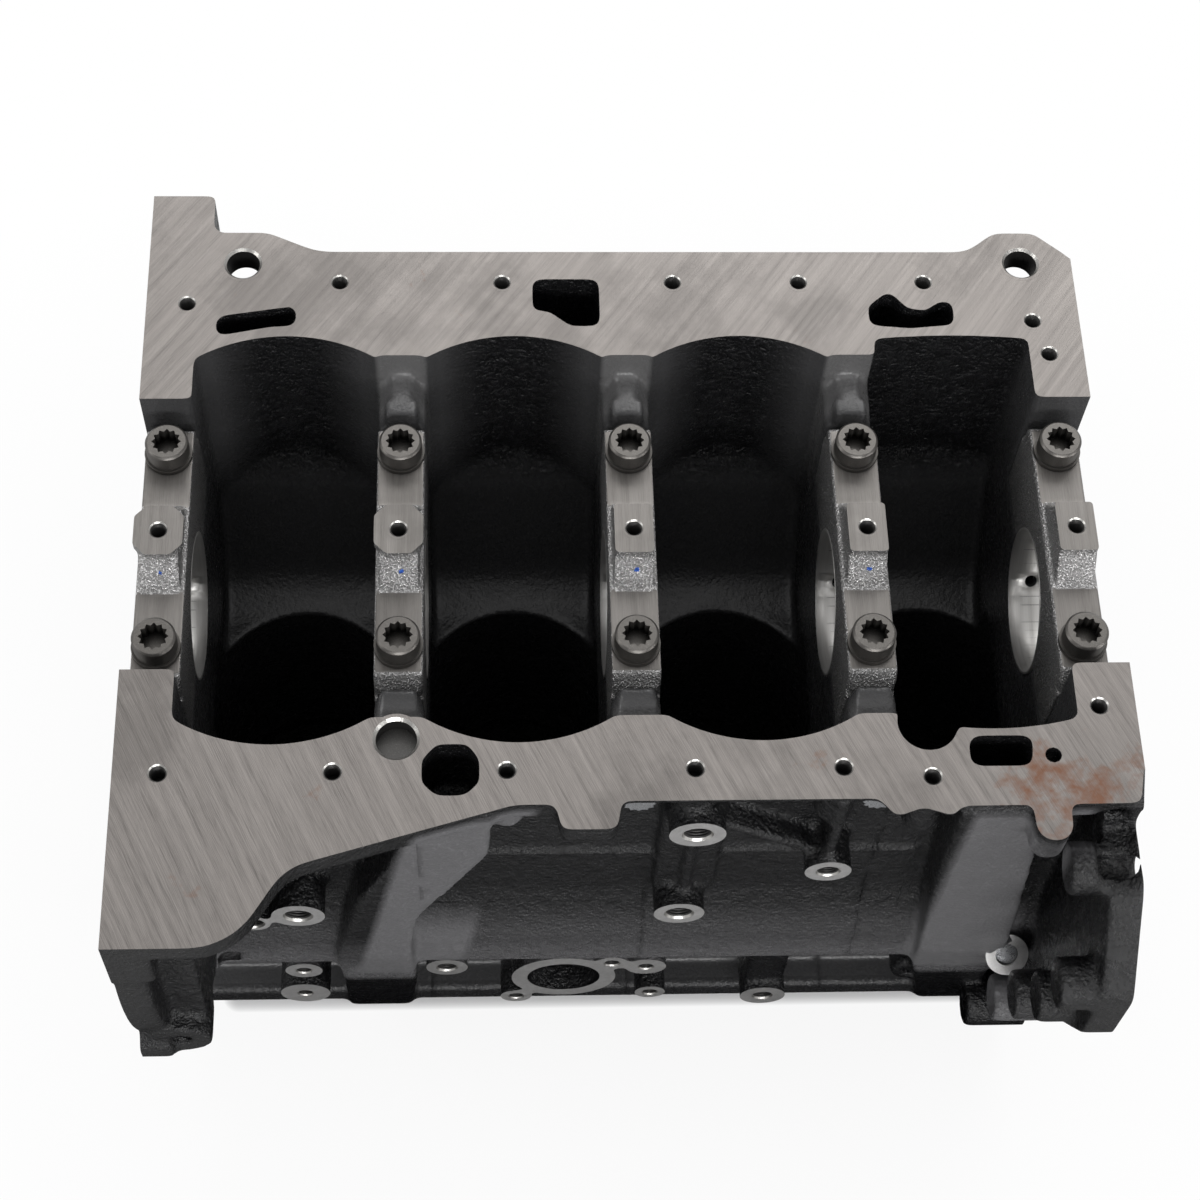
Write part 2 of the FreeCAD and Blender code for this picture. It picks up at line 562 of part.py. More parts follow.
def hole_cuts():
    cuts = []
    down = V(0, 0, -1)
    for x, y in near_rail_holes + far_rail_holes:
        cuts += threaded_hole(rail_thread_diameter / 2, V(x, y, rail_z), down, rail_thread_depth)
    for x, y in plain_rail_holes:
        cuts.append(rod(rail_thread_diameter / 2 - 0.5, V(x, y, rail_z + 1), V(x, y, rail_z - 16)))
    for x, y in hoist_holes:
        r = hoist_hole_diameter / 2
        cuts.append(rod(r, V(x, y, rail_low - 8), V(x, y, rail_z + 1)))
        cuts.append(cone(r + 1, r, V(x, y, rail_z), V(x, y, rail_z - 1)))
    x, y = plug_bore_at
    cuts.append(rod(plug_bore_diameter / 2, V(x, y, rail_z + 1), V(x, y, rail_z - plug_bore_depth - plug_thickness)))
    for x, y in head_bolts():
        cuts.append(rod(head_bolt_diameter / 2, V(x, y, 0), V(x, y, head_bolt_depth)))
    for i, x in enumerate(bearing_x):
        for side in (-1, 1):
            top = V(x, side * main_bolt_offset, crank_z)
            depth = main_bolt_reach - (seat_z - crank_z) + 5
            cuts += threaded_hole(main_bolt_diameter / 2 + thread_clearance, top, down, depth)
            if 0 < i < len(bearing_x) - 1:
                wall = far_wall if side > 0 else near_wall
                cuts.append(rod(cross_bolt_diameter / 2 + bolt_hole_clearance,
                                V(x, side * (wall + 20), cross_z), V(x, side * cap_half_width, cross_z)))
                spot = cross_bolt_head_diameter / 2 + 2.5
                cuts.append(rod(spot, V(x, side * wall, cross_z), V(x, side * (wall + 16), cross_z)))
    x, z, radius, _ = shoulder_pad
    cuts.append(rod(radius, V(x, -pad_plane, z), V(x, -bell_radius, z)))
    for x, z, _, thread in accessory_pads + [shoulder_pad]:
        cuts += threaded_hole(thread / 2, V(x, -pad_plane, z), V(0, 1, 0), 15)
    for x, z, _, thread in port_pads:
        cuts += threaded_hole(thread / 2, V(x, -port_plane, z), V(0, 1, 0), 15)
    for x, z in far_pads:
        cuts += threaded_hole(thread_m10 / 2, V(x, far_rail_edge - 6, z), V(0, -1, 0), 20)
    x, z = foot_boss_at()
    cuts += threaded_hole(thread_m8 / 2, V(x, -foot_plane, z), V(0, 1, 0), 20)
    face, inward = duct_plug_place()
    cuts.append(rod(duct_plug_diameter / 2, face - inward, face + inward * duct_plug_depth))
    x, z, r = water_port
    cuts.append(rod(r, V(x, -port_plane - 1, z), V(x, -bore_r - liner_wall - 3, z)))
    for ear_x, ear_z in ((x - 20.4, z - 23.4), (x + 20.4, z + 16)):
        cuts += threaded_hole(3.0, V(ear_x, -port_plane, ear_z), V(0, 1, 0), 14)
    for y, z in bell_bolts():
        cuts.append(rod(thread_m10 / 2 + 0.5, V(rear_face - 1, y, z), V(rear_face + 30, y, z)))
    for y, z in timing_bolts():
        cuts.append(rod(thread_m8 / 2, V(front_face, y, z), V(front_face - 20, y, z)))
    for x in cylinder_x[:-1]:
        cuts.append(rod(core_plug_diameter / 2, V(x, jacket_wall + 1, core_plug_height),
                        V(x, bore_r + jacket_reach - 4, core_plug_height)))
    return cuts


def tunnel_cuts():
    cuts = []
    for side in (-1, 1):
        at = V(front_face + 1, side * tunnel_offset, tunnel_height)
        cuts.append(rod(tunnel_bore / 2, at, V(rear_face + 24, at.y, at.z)))
    return cuts


def cylinder_block():
    body = [crankcase_body(), far_rail()] + near_rail() + bell_flange() + timing_flange_plate()
    body += near_details() + far_details() + rail_bosses()
    body.append(plug_boss())
    casting = body[0].fuse(body[1:]).removeSplitter()
    below_deck = box((rear_face - 5, front_face + 5), (-bell_radius, bell_radius), (-20, 0))
    crank_bore = rod(main_r, V(rear_face - 1, 0, crank_z), V(front_face + 1, 0, crank_z))
    steps = [[below_deck, crank_bore], bay_cuts(), web_cuts(), oil_cuts(), cylinder_cuts(), jacket_cut(), window_cuts(),
             hole_cuts(), tunnel_cuts()]
    for cuts in steps:
        casting = casting.cut(cuts)
    return casting


# ---- the loose pieces ---------------------------------------------------------------------------
def main_cap(x, pad_width, pad_corner):
    """A main bearing cap: a base with two bolt seats, and a cast neck that carries the machined pad."""
    w, pad, start = cap_half_width, cap_pad_half, cap_seat_start
    neck_z = rail_z - cap_pad_depth
    half = web_thickness / 2
    base = section_bar([(-w, crank_z, 0), (-w, seat_z - 8, 3), (-w + 5, seat_z, 2), (w - 5, seat_z, 2),
                        (w, seat_z - 8, 3), (w, crank_z, 0)], x - half, x + half)
    r = cap_end_corner
    plan = slab([(x - half, -w, r), (x + half, -w, r), (x + half, w, r), (x - half, w, r)], seat_z - 12, rail_z)
    low = box((x - half, x + half), (-w, w), (crank_z, seat_z - 12))
    neck = section_bar([(-start, seat_z, 0), (-pad - 0.5, neck_z, 0), (pad + 0.5, neck_z, 0), (start, seat_z, 0)],
                       x - cap_neck / 2, x + cap_neck / 2)
    left, right, c = x - pad_width / 2, x + pad_width / 2, pad_corner
    top = slab([(left + c, -pad, 0), (right - c, -pad, 0), (right, c - pad, 0), (right, pad - c, 0),
                (right - c, pad, 0), (left + c, pad, 0), (left, pad - c, 0), (left, c - pad, 0)], neck_z, rail_z)
    cap = base.common(plan.fuse(low)).fuse([neck, top])
    cuts = [rod(main_r, V(x - half - 1, 0, crank_z), V(x + half + 1, 0, crank_z))]
    for side in (-1, 1):
        y = side * main_bolt_offset
        cuts.append(rod(main_bolt_diameter / 2 + bolt_hole_clearance, V(x, y, crank_z - 1), V(x, y, seat_z + 1)))
    cuts += threaded_hole(cap_pad_thread / 2, V(x, 0, rail_z), V(0, 0, -1), 15)
    return cap, cuts


def star(radius_out, radius_in, points, z_low, z_high, at):
    """A toothed prism standing along Z, as a splined socket or head."""
    corners = []
    for i in range(points * 2):
        radius = radius_out if i % 2 == 0 else radius_in
        angle = math.pi * i / points
        corners.append((radius * math.cos(angle), radius * math.sin(angle), 0))
    shape = slab(corners, z_low, z_high)
    shape.translate(at)
    return shape


def main_bolt(x, y):
    """Flanged cap bolt with a twelve-point socket in its head."""
    under = V(x, y, seat_z)
    shank = rod(main_bolt_diameter / 2, under - V(0, 0, main_bolt_reach), under)
    flange = rod(main_bolt_flange_diameter / 2, under, under + V(0, 0, main_bolt_flange))
    head = rod(main_bolt_head_diameter / 2, under, under + V(0, 0, main_bolt_head))
    head = head.makeChamfer(0.9, [e for e in head.Edges if e.BoundBox.ZMin > seat_z + main_bolt_head - 0.1])
    socket = star(5.6, 4.5, 12, 0, 7.0, under + V(0, 0, main_bolt_head - 6.9))
    return shank.fuse([flange, head]).cut(socket).removeSplitter()


def cross_bolt(x, side):
    """Side bolt that ties a cap to the crankcase wall, with a splined head."""
    wall = far_wall if side > 0 else near_wall
    end = cap_half_width - cross_bolt_grip
    length = wall - end
    shank = rod(cross_bolt_diameter / 2, V(0, 0, -length), V(0, 0, 0))
    flange = rod(cross_bolt_head_diameter / 2, V(0, 0, 0), V(0, 0, cross_bolt_flange))
    head = star(cross_bolt_head_diameter / 2 - 0.3, cross_bolt_head_diameter / 2 - 1.4, 12, 0, cross_bolt_head, V())
    bolt = shank.fuse([flange, head]).removeSplitter()
    bolt.rotate(V(), V(1, 0, 0), -90 * side)
    bolt.translate(V(x, side * wall, cross_z))
    return bolt


def cross_bolt_hole(x, side):
    end = cap_half_width - cross_bolt_grip - 1
    return rod(cross_bolt_diameter / 2 + thread_clearance, V(x, side * end, cross_z),
               V(x, side * (cap_half_width + 1), cross_z))


def cup_plug(radius, thickness, wall):
    """A pressed cup plug, open at z = thickness."""
    cup = rod(radius, V(0, 0, 0), V(0, 0, thickness))
    return cup.cut(rod(radius - wall, V(0, 0, wall), V(0, 0, thickness + 1)))


# ---- build --------------------------------------------------------------------------------------
def main():
    os.makedirs("parts", exist_ok=True)
    save(cylinder_block(), "cylinder_block")
    middle_caps = range(1, len(bearing_x) - 1)
    for i, x in enumerate(bearing_x):
        rear_cap = i < 2
        cap, cuts = main_cap(x, web_thickness if rear_cap else narrow_pad, cap_pad_corner if rear_cap else 0.8)
        if i in middle_caps:
            cuts += [cross_bolt_hole(x, side) for side in (-1, 1)]
        save(cap.cut(cuts).removeSplitter(), "main_cap_%d" % (i + 1))
        for side, name in ((-1, "near"), (1, "far")):
            save(main_bolt(x, side * main_bolt_offset), "main_bolt_%d_%s" % (i + 1, name))
            if i in middle_caps:
                save(cross_bolt(x, side), "cross_bolt_%d_%s" % (i + 1, name))
    x, y = plug_bore_at
    rail_plug = rod(plug_bore_diameter / 2, V(x, y, rail_z - plug_bore_depth - plug_thickness),
                    V(x, y, rail_z - plug_bore_depth))
    save(rail_plug, "rail_bore_plug")
    for i, x in enumerate(cylinder_x[:-1]):
        plug = cup_plug(core_plug_diameter / 2, core_plug_depth, core_plug_wall)
        plug.rotate(V(), V(1, 0, 0), -90)
        plug.translate(V(x, jacket_wall - core_plug_sink - core_plug_depth, core_plug_height))
        save(plug, "core_plug_%d" % (i + 1))
    face, inward = duct_plug_place()
    save(rod(duct_plug_diameter / 2, face + inward * duct_plug_sink, face + inward * duct_plug_depth), "duct_plug")


main()
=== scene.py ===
import bpy
import bmesh
import json
import math
import numpy as np
from mathutils import Matrix, Vector


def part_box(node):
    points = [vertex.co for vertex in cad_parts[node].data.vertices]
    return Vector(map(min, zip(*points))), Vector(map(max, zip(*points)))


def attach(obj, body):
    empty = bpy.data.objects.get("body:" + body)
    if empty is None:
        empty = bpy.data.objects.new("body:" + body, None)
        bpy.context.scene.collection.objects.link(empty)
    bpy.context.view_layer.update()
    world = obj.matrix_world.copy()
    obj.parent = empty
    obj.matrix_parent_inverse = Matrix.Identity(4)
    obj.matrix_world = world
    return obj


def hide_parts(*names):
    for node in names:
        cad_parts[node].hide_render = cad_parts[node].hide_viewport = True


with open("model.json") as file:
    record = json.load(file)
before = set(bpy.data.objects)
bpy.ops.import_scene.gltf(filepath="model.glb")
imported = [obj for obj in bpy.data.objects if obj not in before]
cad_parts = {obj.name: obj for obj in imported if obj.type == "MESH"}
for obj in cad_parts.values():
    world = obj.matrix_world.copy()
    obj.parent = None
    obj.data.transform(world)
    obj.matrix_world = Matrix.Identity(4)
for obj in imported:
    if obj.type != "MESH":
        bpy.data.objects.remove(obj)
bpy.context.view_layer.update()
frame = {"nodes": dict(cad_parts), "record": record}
nodes = frame["nodes"]
mount = {m["name"]: m for m in frame["record"]["mounts"]}
scene = bpy.context.scene

# ---- sizes, in metres ---------------------------------------------------------------------------
MM = 0.001
rail_z = mount["sump_rail"]["pos_m"][2]
rear_x = mount["bell_housing_face"]["pos_m"][0]
front_x = mount["timing_face"]["pos_m"][0]
crank_z = mount["crank_bore"]["pos_m"][2]
crank_radius = mount["crank_bore"]["dims"]["r_mm"] * MM
bore_mounts = [m for name, m in mount.items() if name.startswith("cylinder_bore")]
bore_radius = bore_mounts[0]["dims"]["r_mm"] * MM
bore_top = bore_mounts[0]["dims"]["length_mm"] * MM
seat_z = rail_z - 15 * MM                      # where the cap bolts sit
wall_y = 90 * MM                               # pads stand outside this distance from the crank plane
block_cuts = [-81.3 * MM, 6.7 * MM, 94.7 * MM]  # where the skin is divided into its pieces
flush = 0.03 * MM                              # the skin lies this far under the rims set in its holes
machining_stock = 3.5 * MM                     # cast on top of each face that is milled off
cap_stock = 2 * MM
block_grain = 1.4 * MM                         # cell of the block's cast skin
cap_grain = 0.75 * MM
block_blend = 9                                # smoothing passes over the cast edges
cap_blend = 7
piece_triangles = 185000                       # most that one piece of the casting may have
cap_triangles = 60000
weld_distance = 2e-6                           # vertices nearer than this are the same
on_plane = 1e-7                                # vertices nearer than this lie in a cut
hole_depth = 30 * MM                           # how far down the skin clears a hole's insert
hole_reach = 3 * MM                            # and how thick a layer of its wall moves for that
marking_dots = [(x * MM + 0.002, -0.0125, 0.272) for x in (-177, -88, 0, 88)]
column_x = [-88 * MM, 0.0, 88 * MM]            # the three inner bearings, where painted highlights run up the columns above them
duct_half = 20 * MM
front_duct_x = 140 * MM
plug_face = (157 * MM, -113.5 * MM, 125 * MM)
plug_tilt = math.radians(48)                   # of the plugged boss at the foot of the front duct
rear_duct_x = -104 * MM                        # at the deck; it leans forward as it climbs
duct_lean = -0.16
bulge_top, bulge_foot = 150 * MM, 100 * MM     # the crankcase wall swells out between these heights, and a painted reflection lightens it there
CAST, MILLED, PAD = 0, 1, 2


# ---- shader groups ------------------------------------------------------------------------------
class Nodes:
    """A short way to write a node tree: each call makes a node and links its inputs."""

    def __init__(self, tree):
        self.tree = tree

    def add(self, kind, values=None, out=0, **settings):
        node = self.tree.nodes.new(kind)
        for name, value in settings.items():
            setattr(node, name, value)
        for name, value in (values or {}).items():
            socket = node.inputs[name]
            if isinstance(value, bpy.types.NodeSocket):
                self.tree.links.new(value, socket)
            else:
                socket.default_value = value
        return node.outputs[out]

    def math(self, operation, a, b=0.0, clamp=False):
        return self.add("ShaderNodeMath", {0: a, 1: b}, operation=operation, use_clamp=clamp)

    def mix(self, factor, a, b):
        return self.add("ShaderNodeMix", {0: factor, 6: a, 7: b}, out=2, data_type="RGBA")

    def span(self, value, low, high, to_low=0.0, to_high=1.0):
        return self.add("ShaderNodeMapRange", {0: value, 1: low, 2: high, 3: to_low, 4: to_high})

    def noise(self, vector, scale, detail=2.0, rough=0.5):
        return self.add("ShaderNodeTexNoise", {"Vector": vector, "Scale": scale, "Detail": detail,
                                               "Roughness": rough})


def group(name, inputs, outputs):
    """A new shader group: its tree, a writer for it, what it is given and what it returns."""
    tree = bpy.data.node_groups.new(name, "ShaderNodeTree")
    for label, kind, value in inputs:
        socket = tree.interface.new_socket(label, in_out="INPUT", socket_type="NodeSocket" + kind)
        socket.default_value = value
    for label, kind in outputs:
        tree.interface.new_socket(label, in_out="OUTPUT", socket_type="NodeSocket" + kind)
    source = tree.nodes.new("NodeGroupInput")
    result = tree.nodes.new("NodeGroupOutput")
    return tree, Nodes(tree), source.outputs, result.inputs


def grain_group():
    """The skin of sand-cast iron: coarse waves, sand grains and small pits."""
    tree, n, given, result = group(
        "sand cast grain",
        [("Grain per metre", "Float", 900.0), ("Waves per metre", "Float", 120.0),
         ("Wave share", "Float", 0.5)],
        [("Height", "Float"), ("Speck", "Float"), ("Fleck", "Float")])
    place = n.add("ShaderNodeTexCoord", out=3)
    fine = n.noise(place, given["Grain per metre"], 3.0, 0.6)
    wave = n.noise(place, given["Waves per metre"], 2.0)
    share = n.math("MULTIPLY", wave, given["Wave share"])
    tree.links.new(n.math("ADD", fine, share), result["Height"])
    tree.links.new(n.span(fine, 0.56, 0.72), result["Speck"])
    tree.links.new(n.span(fine, 0.48, 0.62), result["Fleck"])
    return tree


def milling_group():
    """Parallel marks left by a face cutter, with their direction set by an angle."""
    tree, n, given, result = group(
        "milling marks",
        [("Near angle", "Float", 0.8), ("Far angle", "Float", 0.8), ("Marks per metre", "Float", 160.0)],
        [("Marks", "Float"), ("Fine", "Float")])
    place = n.add("ShaderNodeTexCoord", out=3)
    split = n.add("ShaderNodeSeparateXYZ", {0: place}, out=1)
    far = n.math("GREATER_THAN", split, 0.0)
    angle = n.add("ShaderNodeMix", {0: far, 2: given["Near angle"], 3: given["Far angle"]})
    turn = n.add("ShaderNodeCombineXYZ", {2: angle})
    turned = n.add("ShaderNodeVectorRotate", {"Vector": place, "Rotation": turn}, rotation_type="EULER_XYZ")
    stretched = n.add("ShaderNodeVectorMath", {0: turned, 1: (1.0, 0.03, 1.0)}, operation="MULTIPLY")
    broad = n.noise(stretched, given["Marks per metre"], 2.0, 0.6)
    fine = n.noise(stretched, n.math("MULTIPLY", given["Marks per metre"], 9.0), 2.0, 0.6)
    tree.links.new(n.span(broad, 0.3, 0.7), result["Marks"])
    tree.links.new(n.span(fine, 0.3, 0.7), result["Fine"])
    return tree


def stain_group():
    """Blotches of light surface rust, thinned out by a threshold and gathered round one place."""
    tree, n, given, result = group(
        "rust stains",
        [("Size per metre", "Float", 28.0), ("Threshold", "Float", 0.62), ("Heart", "Vector", (0, 0, 0)),
         ("Gathered", "Float", 0.0)],
        [("Mask", "Float")])
    place = n.add("ShaderNodeTexCoord", out=3)
    patch = n.noise(place, given["Size per metre"], 5.0, 0.65)
    away = n.add("ShaderNodeVectorMath", {0: place, 1: given["Heart"]}, out=1, operation="DISTANCE")
    near = n.math("MULTIPLY", n.span(away, 42 * MM, 4 * MM), given["Gathered"])
    patch = n.math("ADD", patch, near)
    soft_edge = 0.12
    tree.links.new(n.span(patch, given["Threshold"], n.math("ADD", given["Threshold"], soft_edge)),
                   result["Mask"])
    return tree


def dots_group():
    """Small ragged dots of marking paint on the near slopes of four bearing caps."""
    tree, n, given, result = group("marking dots", [("Dot radius", "Float", 0.0009)], [("Mask", "Float")])
    place = n.add("ShaderNodeTexCoord", out=3)
    jitter = n.add("ShaderNodeTexNoise", {"Vector": place, "Scale": 700.0}, out=1)
    ragged = n.add("ShaderNodeVectorMath", {0: jitter, 1: (0.0022, 0.0022, 0.0022)}, operation="MULTIPLY")
    moved = n.add("ShaderNodeVectorMath", {0: place, 1: ragged}, operation="ADD")
    reach = [n.add("ShaderNodeVectorMath", {0: moved, 1: (x, y, z)}, out=1, operation="DISTANCE")
             for x, y, z in marking_dots]
    nearest = reach[0]
    for other in reach[1:]:
        nearest = n.math("MINIMUM", nearest, other)
    tree.links.new(n.math("LESS_THAN", nearest, given["Dot radius"]), result["Mask"])
    return tree


def boring_group():
    """Fine rings of a boring tool round the X axis."""
    tree, n, given, result = group(
        "boring rings", [("Rings per metre", "Float", 2500.0)], [("Rings", "Float")])
    place = n.add("ShaderNodeTexCoord", out=3)
    stretched = n.add("ShaderNodeVectorMath", {0: place, 1: (1.0, 0.02, 0.02)}, operation="MULTIPLY")
    tree.links.new(n.noise(stretched, given["Rings per metre"], 1.0), result["Rings"])
    return tree


def area_group():
    """Areas of the casting, each faded in and out along the axes: the ducts, which have a paler, rougher
    finish, and three areas of painted light: a painted reflection on the near wall's swelling, painted fill
    light inside the bays and painted highlights up the columns.
    """
    tree, n, given, result = group(
        "coat areas", [("Soft edge", "Float", 0.004)],
        [("Duct", "Float"), ("Bulge reflection", "Float"), ("Inside", "Float"), ("Column highlight", "Float")])
    place = n.add("ShaderNodeTexCoord", out=3)
    x, y, z = n.add("ShaderNodeSeparateXYZ", {0: place}).node.outputs

    def between(value, fade_in, fade_out):
        return n.math("MULTIPLY", n.span(value, *fade_in), n.span(value, *fade_out))

    lean = n.math("ADD", x, n.math("MULTIPLY", z, duct_lean))
    masks = []
    for along, middle in ((lean, rear_duct_x), (x, front_duct_x)):
        away = n.math("SUBTRACT", n.math("ABSOLUTE", n.math("SUBTRACT", along, middle)), duct_half)
        masks.append(n.span(away, given["Soft edge"], 0.0))
    near = between(y, (-0.098, -0.104), (-0.13, -0.125))
    below = between(z, (0.277, 0.272), (0.088, 0.098))
    tree.links.new(n.math("MULTIPLY", n.math("MAXIMUM", *masks), n.math("MULTIPLY", near, below)),
                   result["Duct"])

    # Painted reflection: the near wall's swelling is lightened, standing in for the floor seen in its glossy
    # paint.
    near_wall = n.span(y, -0.088, -0.092)
    swelling = between(z, (bulge_top, bulge_foot), (bulge_foot - 0.03, bulge_foot - 0.02))
    tree.links.new(n.math("MULTIPLY", near_wall, swelling), result["Bulge reflection"])

    # Inside is where painted fill light goes: the bays get a lighter colour in place of light reaching them.
    # The same mask also smooths the relief there.
    from_middle = n.math("ABSOLUTE", y)
    tree.links.new(n.span(from_middle, 0.086, 0.08), result["Inside"])

    # Painted highlight: a lighter strip up the columns above the three inner bearings.
    beside = [n.math("ABSOLUTE", n.math("SUBTRACT", x, middle)) for middle in column_x]
    nearest = n.math("MINIMUM", n.math("MINIMUM", beside[0], beside[1]), beside[2])
    flank = n.math("MULTIPLY", n.span(nearest, 10.5 * MM, 8.5 * MM), n.span(z, 0.195, 0.205))
    tree.links.new(n.math("MULTIPLY", flank, between(from_middle, (0.06, 0.066), (0.094, 0.09))),
                   result["Column highlight"])
    return tree


cast_grain = grain_group()
coat_and_light_areas = area_group()
milling_marks = milling_group()
rust_stains = stain_group()
paint_dots = dots_group()
boring_rings = boring_group()


def use(n, tree, values=None):
    """Places a shader group in a material and returns its outputs."""
    node = n.tree.nodes.new("ShaderNodeGroup")
    node.node_tree = tree
    for name, value in (values or {}).items():
        node.inputs[name].default_value = value
    return node.outputs


def material(name):
    """A new material, a writer for its nodes, and its shader."""
    made = bpy.data.materials.new(name)
    made.use_nodes = True
    tree = made.node_tree
    shader = tree.nodes["Principled BSDF"]
    n = Nodes(tree)
    return made, n, shader


def feed(n, shader, **sockets):
    """Sets or links sockets of the shader by name."""
    for name, value in sockets.items():
        socket = shader.inputs[name.replace("_", " ")]
        if isinstance(value, bpy.types.NodeSocket):
            n.tree.links.new(value, socket)
        else:
            socket.default_value = value


def bump(n, height, distance, strength=1.0):
    return n.add("ShaderNodeBump", {"Height": height, "Distance": distance, "Strength": strength})


def painted_casting():
    """Glossy black paint over coarse cast iron, paler and semi-matte on the ducts, with painted light: a
    painted reflection on the crankcase wall's swelling, a lighter colour inside the bays as painted fill
    light, and painted highlights on the columns.
    """
    made, n, shader = material("black painted casting")
    grain = use(n, cast_grain, {"Grain per metre": 620.0, "Waves per metre": 150.0, "Wave share": 1.0})
    areas = use(n, coat_and_light_areas)
    paint = n.mix(grain["Speck"], (0.006, 0.006, 0.0065, 1), (0.016, 0.016, 0.018, 1))
    satin_and_painted_sheen = n.mix(grain["Speck"], (0.092, 0.091, 0.094, 1), (0.125, 0.124, 0.128, 1))
    inside_painted_light, column_highlight = (0.045, 0.045, 0.046, 1), (0.11, 0.109, 0.109, 1)
    # painted reflection on the crankcase wall's swelling, in the paler duct colour
    coat_and_painted_light = n.mix(areas["Bulge reflection"], paint, satin_and_painted_sheen)
    # painted fill light inside the bays
    coat_and_painted_light = n.mix(areas["Inside"], coat_and_painted_light, inside_painted_light)
    # painted highlights on the columns
    coat_and_painted_light = n.mix(areas["Column highlight"], coat_and_painted_light, column_highlight)
    rough = n.span(grain["Height"], 0.6, 1.3, 0.16, 0.34)
    rough = n.math("ADD", rough, n.math("MULTIPLY", areas["Duct"], 0.25))
    relief = n.math("MULTIPLY", grain["Height"], n.span(areas["Inside"], 0, 1, 1.0, 0.2))
    relief = n.math("MULTIPLY", relief, n.span(areas["Duct"], 0, 1, 1.0, 0.3))
    feed(n, shader, Base_Color=n.mix(areas["Duct"], coat_and_painted_light, satin_and_painted_sheen), Normal=bump(n, relief, 1.3 * MM),
         Roughness=rough, Specular_IOR_Level=0.4)
    return made


def times(colour, share):
    return tuple(c * share for c in colour[:3]) + (1,)


def milled_iron(name, angles, dark, light, threshold):
    """Milled iron with cutter marks, a dark bloom and some rust at the rail's front near corner."""
    made, n, shader = material(name)
    marks = use(n, milling_marks, {"Near angle": angles[0], "Far angle": angles[1],
                                   "Marks per metre": 420.0})
    stain = use(n, rust_stains, {"Size per metre": 16.0, "Threshold": 0.5})["Mask"]
    rust = use(n, rust_stains, {"Size per metre": 34.0, "Threshold": threshold,
                                "Heart": (0.157, -0.112, rail_z), "Gathered": 0.27})["Mask"]
    rust_brown = (0.16, 0.07, 0.036, 1)
    iron = n.mix(marks["Marks"], dark, light)
    iron = n.mix(n.math("MULTIPLY", marks["Fine"], 0.5), iron, times(light, 1.5))
    iron = n.mix(n.math("MULTIPLY", stain, 0.35), iron, times(dark, 0.6))
    colour = n.mix(rust, iron, rust_brown)
    height = n.math("ADD", marks["Marks"], marks["Fine"])
    feed(n, shader, Base_Color=colour, Metallic=n.span(rust, 0, 1, 0.7, 0.1),
         Roughness=n.span(marks["Fine"], 0, 1, 0.36, 0.52), Normal=bump(n, height, 0.03 * MM))
    return made


def rough_iron():
    """Bare cast iron with bright flecks and the marking dots, for the bearing caps."""
    made, n, shader = material("rough cap iron")
    grain = use(n, cast_grain, {"Grain per metre": 1300.0, "Waves per metre": 300.0, "Wave share": 0.5})
    dots = use(n, paint_dots)["Mask"]
    marking_blue = (0.03, 0.10, 0.42, 1)
    colour = n.mix(grain["Fleck"], (0.27, 0.265, 0.262, 1), (0.6, 0.595, 0.59, 1))
    colour = n.mix(dots, colour, marking_blue)
    feed(n, shader, Base_Color=colour, Metallic=0.85, Roughness=n.span(grain["Fleck"], 0, 1, 0.34, 0.16),
         Normal=bump(n, grain["Height"], 0.85 * MM))
    return made


def bored_iron():
    """Bright bored iron, for the bearing housings."""
    made, n, shader = material("bored bearing housing")
    rings = use(n, boring_rings)["Rings"]
    colour = n.mix(rings, (0.46, 0.45, 0.435, 1), (0.64, 0.63, 0.61, 1))
    feed(n, shader, Base_Color=colour, Metallic=0.85, Roughness=n.span(rings, 0.3, 0.7, 0.36, 0.46))
    return made


def steel(name, dark, light, metallic, low, high, shade_depth=0.0):
    """Steel or cut iron with a roughness from low to high. Recesses up to a depth are darkened with painted
    shade.
    """
    made, n, shader = material(name)
    grain = use(n, cast_grain, {"Grain per metre": 2600.0, "Waves per metre": 400.0, "Wave share": 0.4})
    colour = n.mix(grain["Speck"], dark, light)
    if shade_depth:
        # Painted shade: ambient occlusion darkens the bolt sockets and thread roots.
        open_sky = n.add("ShaderNodeAmbientOcclusion", {"Distance": shade_depth}, out="AO", samples=8)
        colour = n.mix(n.span(open_sky, 0.35, 0.85), times(dark, 0.15), colour)
    feed(n, shader, Base_Color=colour, Metallic=metallic,
         Roughness=n.span(grain["Height"], 0.4, 0.9, low, high), Normal=bump(n, grain["Height"], 0.03 * MM))
    return made


casting_paint = painted_casting()
milled_rail = milled_iron("milled face", (-0.45, 0.62), (0.125, 0.115, 0.108, 1), (0.21, 0.194, 0.182, 1),
                          0.68)
milled_pad = milled_iron("milled boss", (0.2, 0.2), (0.32, 0.315, 0.31, 1), (0.42, 0.415, 0.41, 1), 0.9)
milled_cap = milled_iron("milled cap seat", (0.0, 0.0), (0.115, 0.108, 0.1, 1), (0.175, 0.165, 0.155, 1),
                         0.95)
fresh_cut = steel("fresh cut iron", (0.42, 0.41, 0.39, 1), (0.58, 0.57, 0.55, 1), 0.9, 0.26, 0.36)
thread_wall = steel("thread wall", (0.035, 0.034, 0.033, 1), (0.06, 0.058, 0.056, 1), 0.7, 0.4, 0.55)
cap_skin = rough_iron()
bored = bored_iron()
socket_shade = 5 * MM
phosphate = steel("dark phosphate steel", (0.105, 0.099, 0.092, 1), (0.18, 0.17, 0.158, 1), 0.8, 0.3, 0.44,
                  socket_shade)
zinc = steel("bright zinc steel", (0.55, 0.56, 0.58, 1), (0.72, 0.73, 0.74, 1), 0.9, 0.22, 0.34, socket_shade)
plug_steel = steel("plug steel", (0.08, 0.078, 0.075, 1), (0.16, 0.155, 0.15, 1), 0.8, 0.34, 0.5)


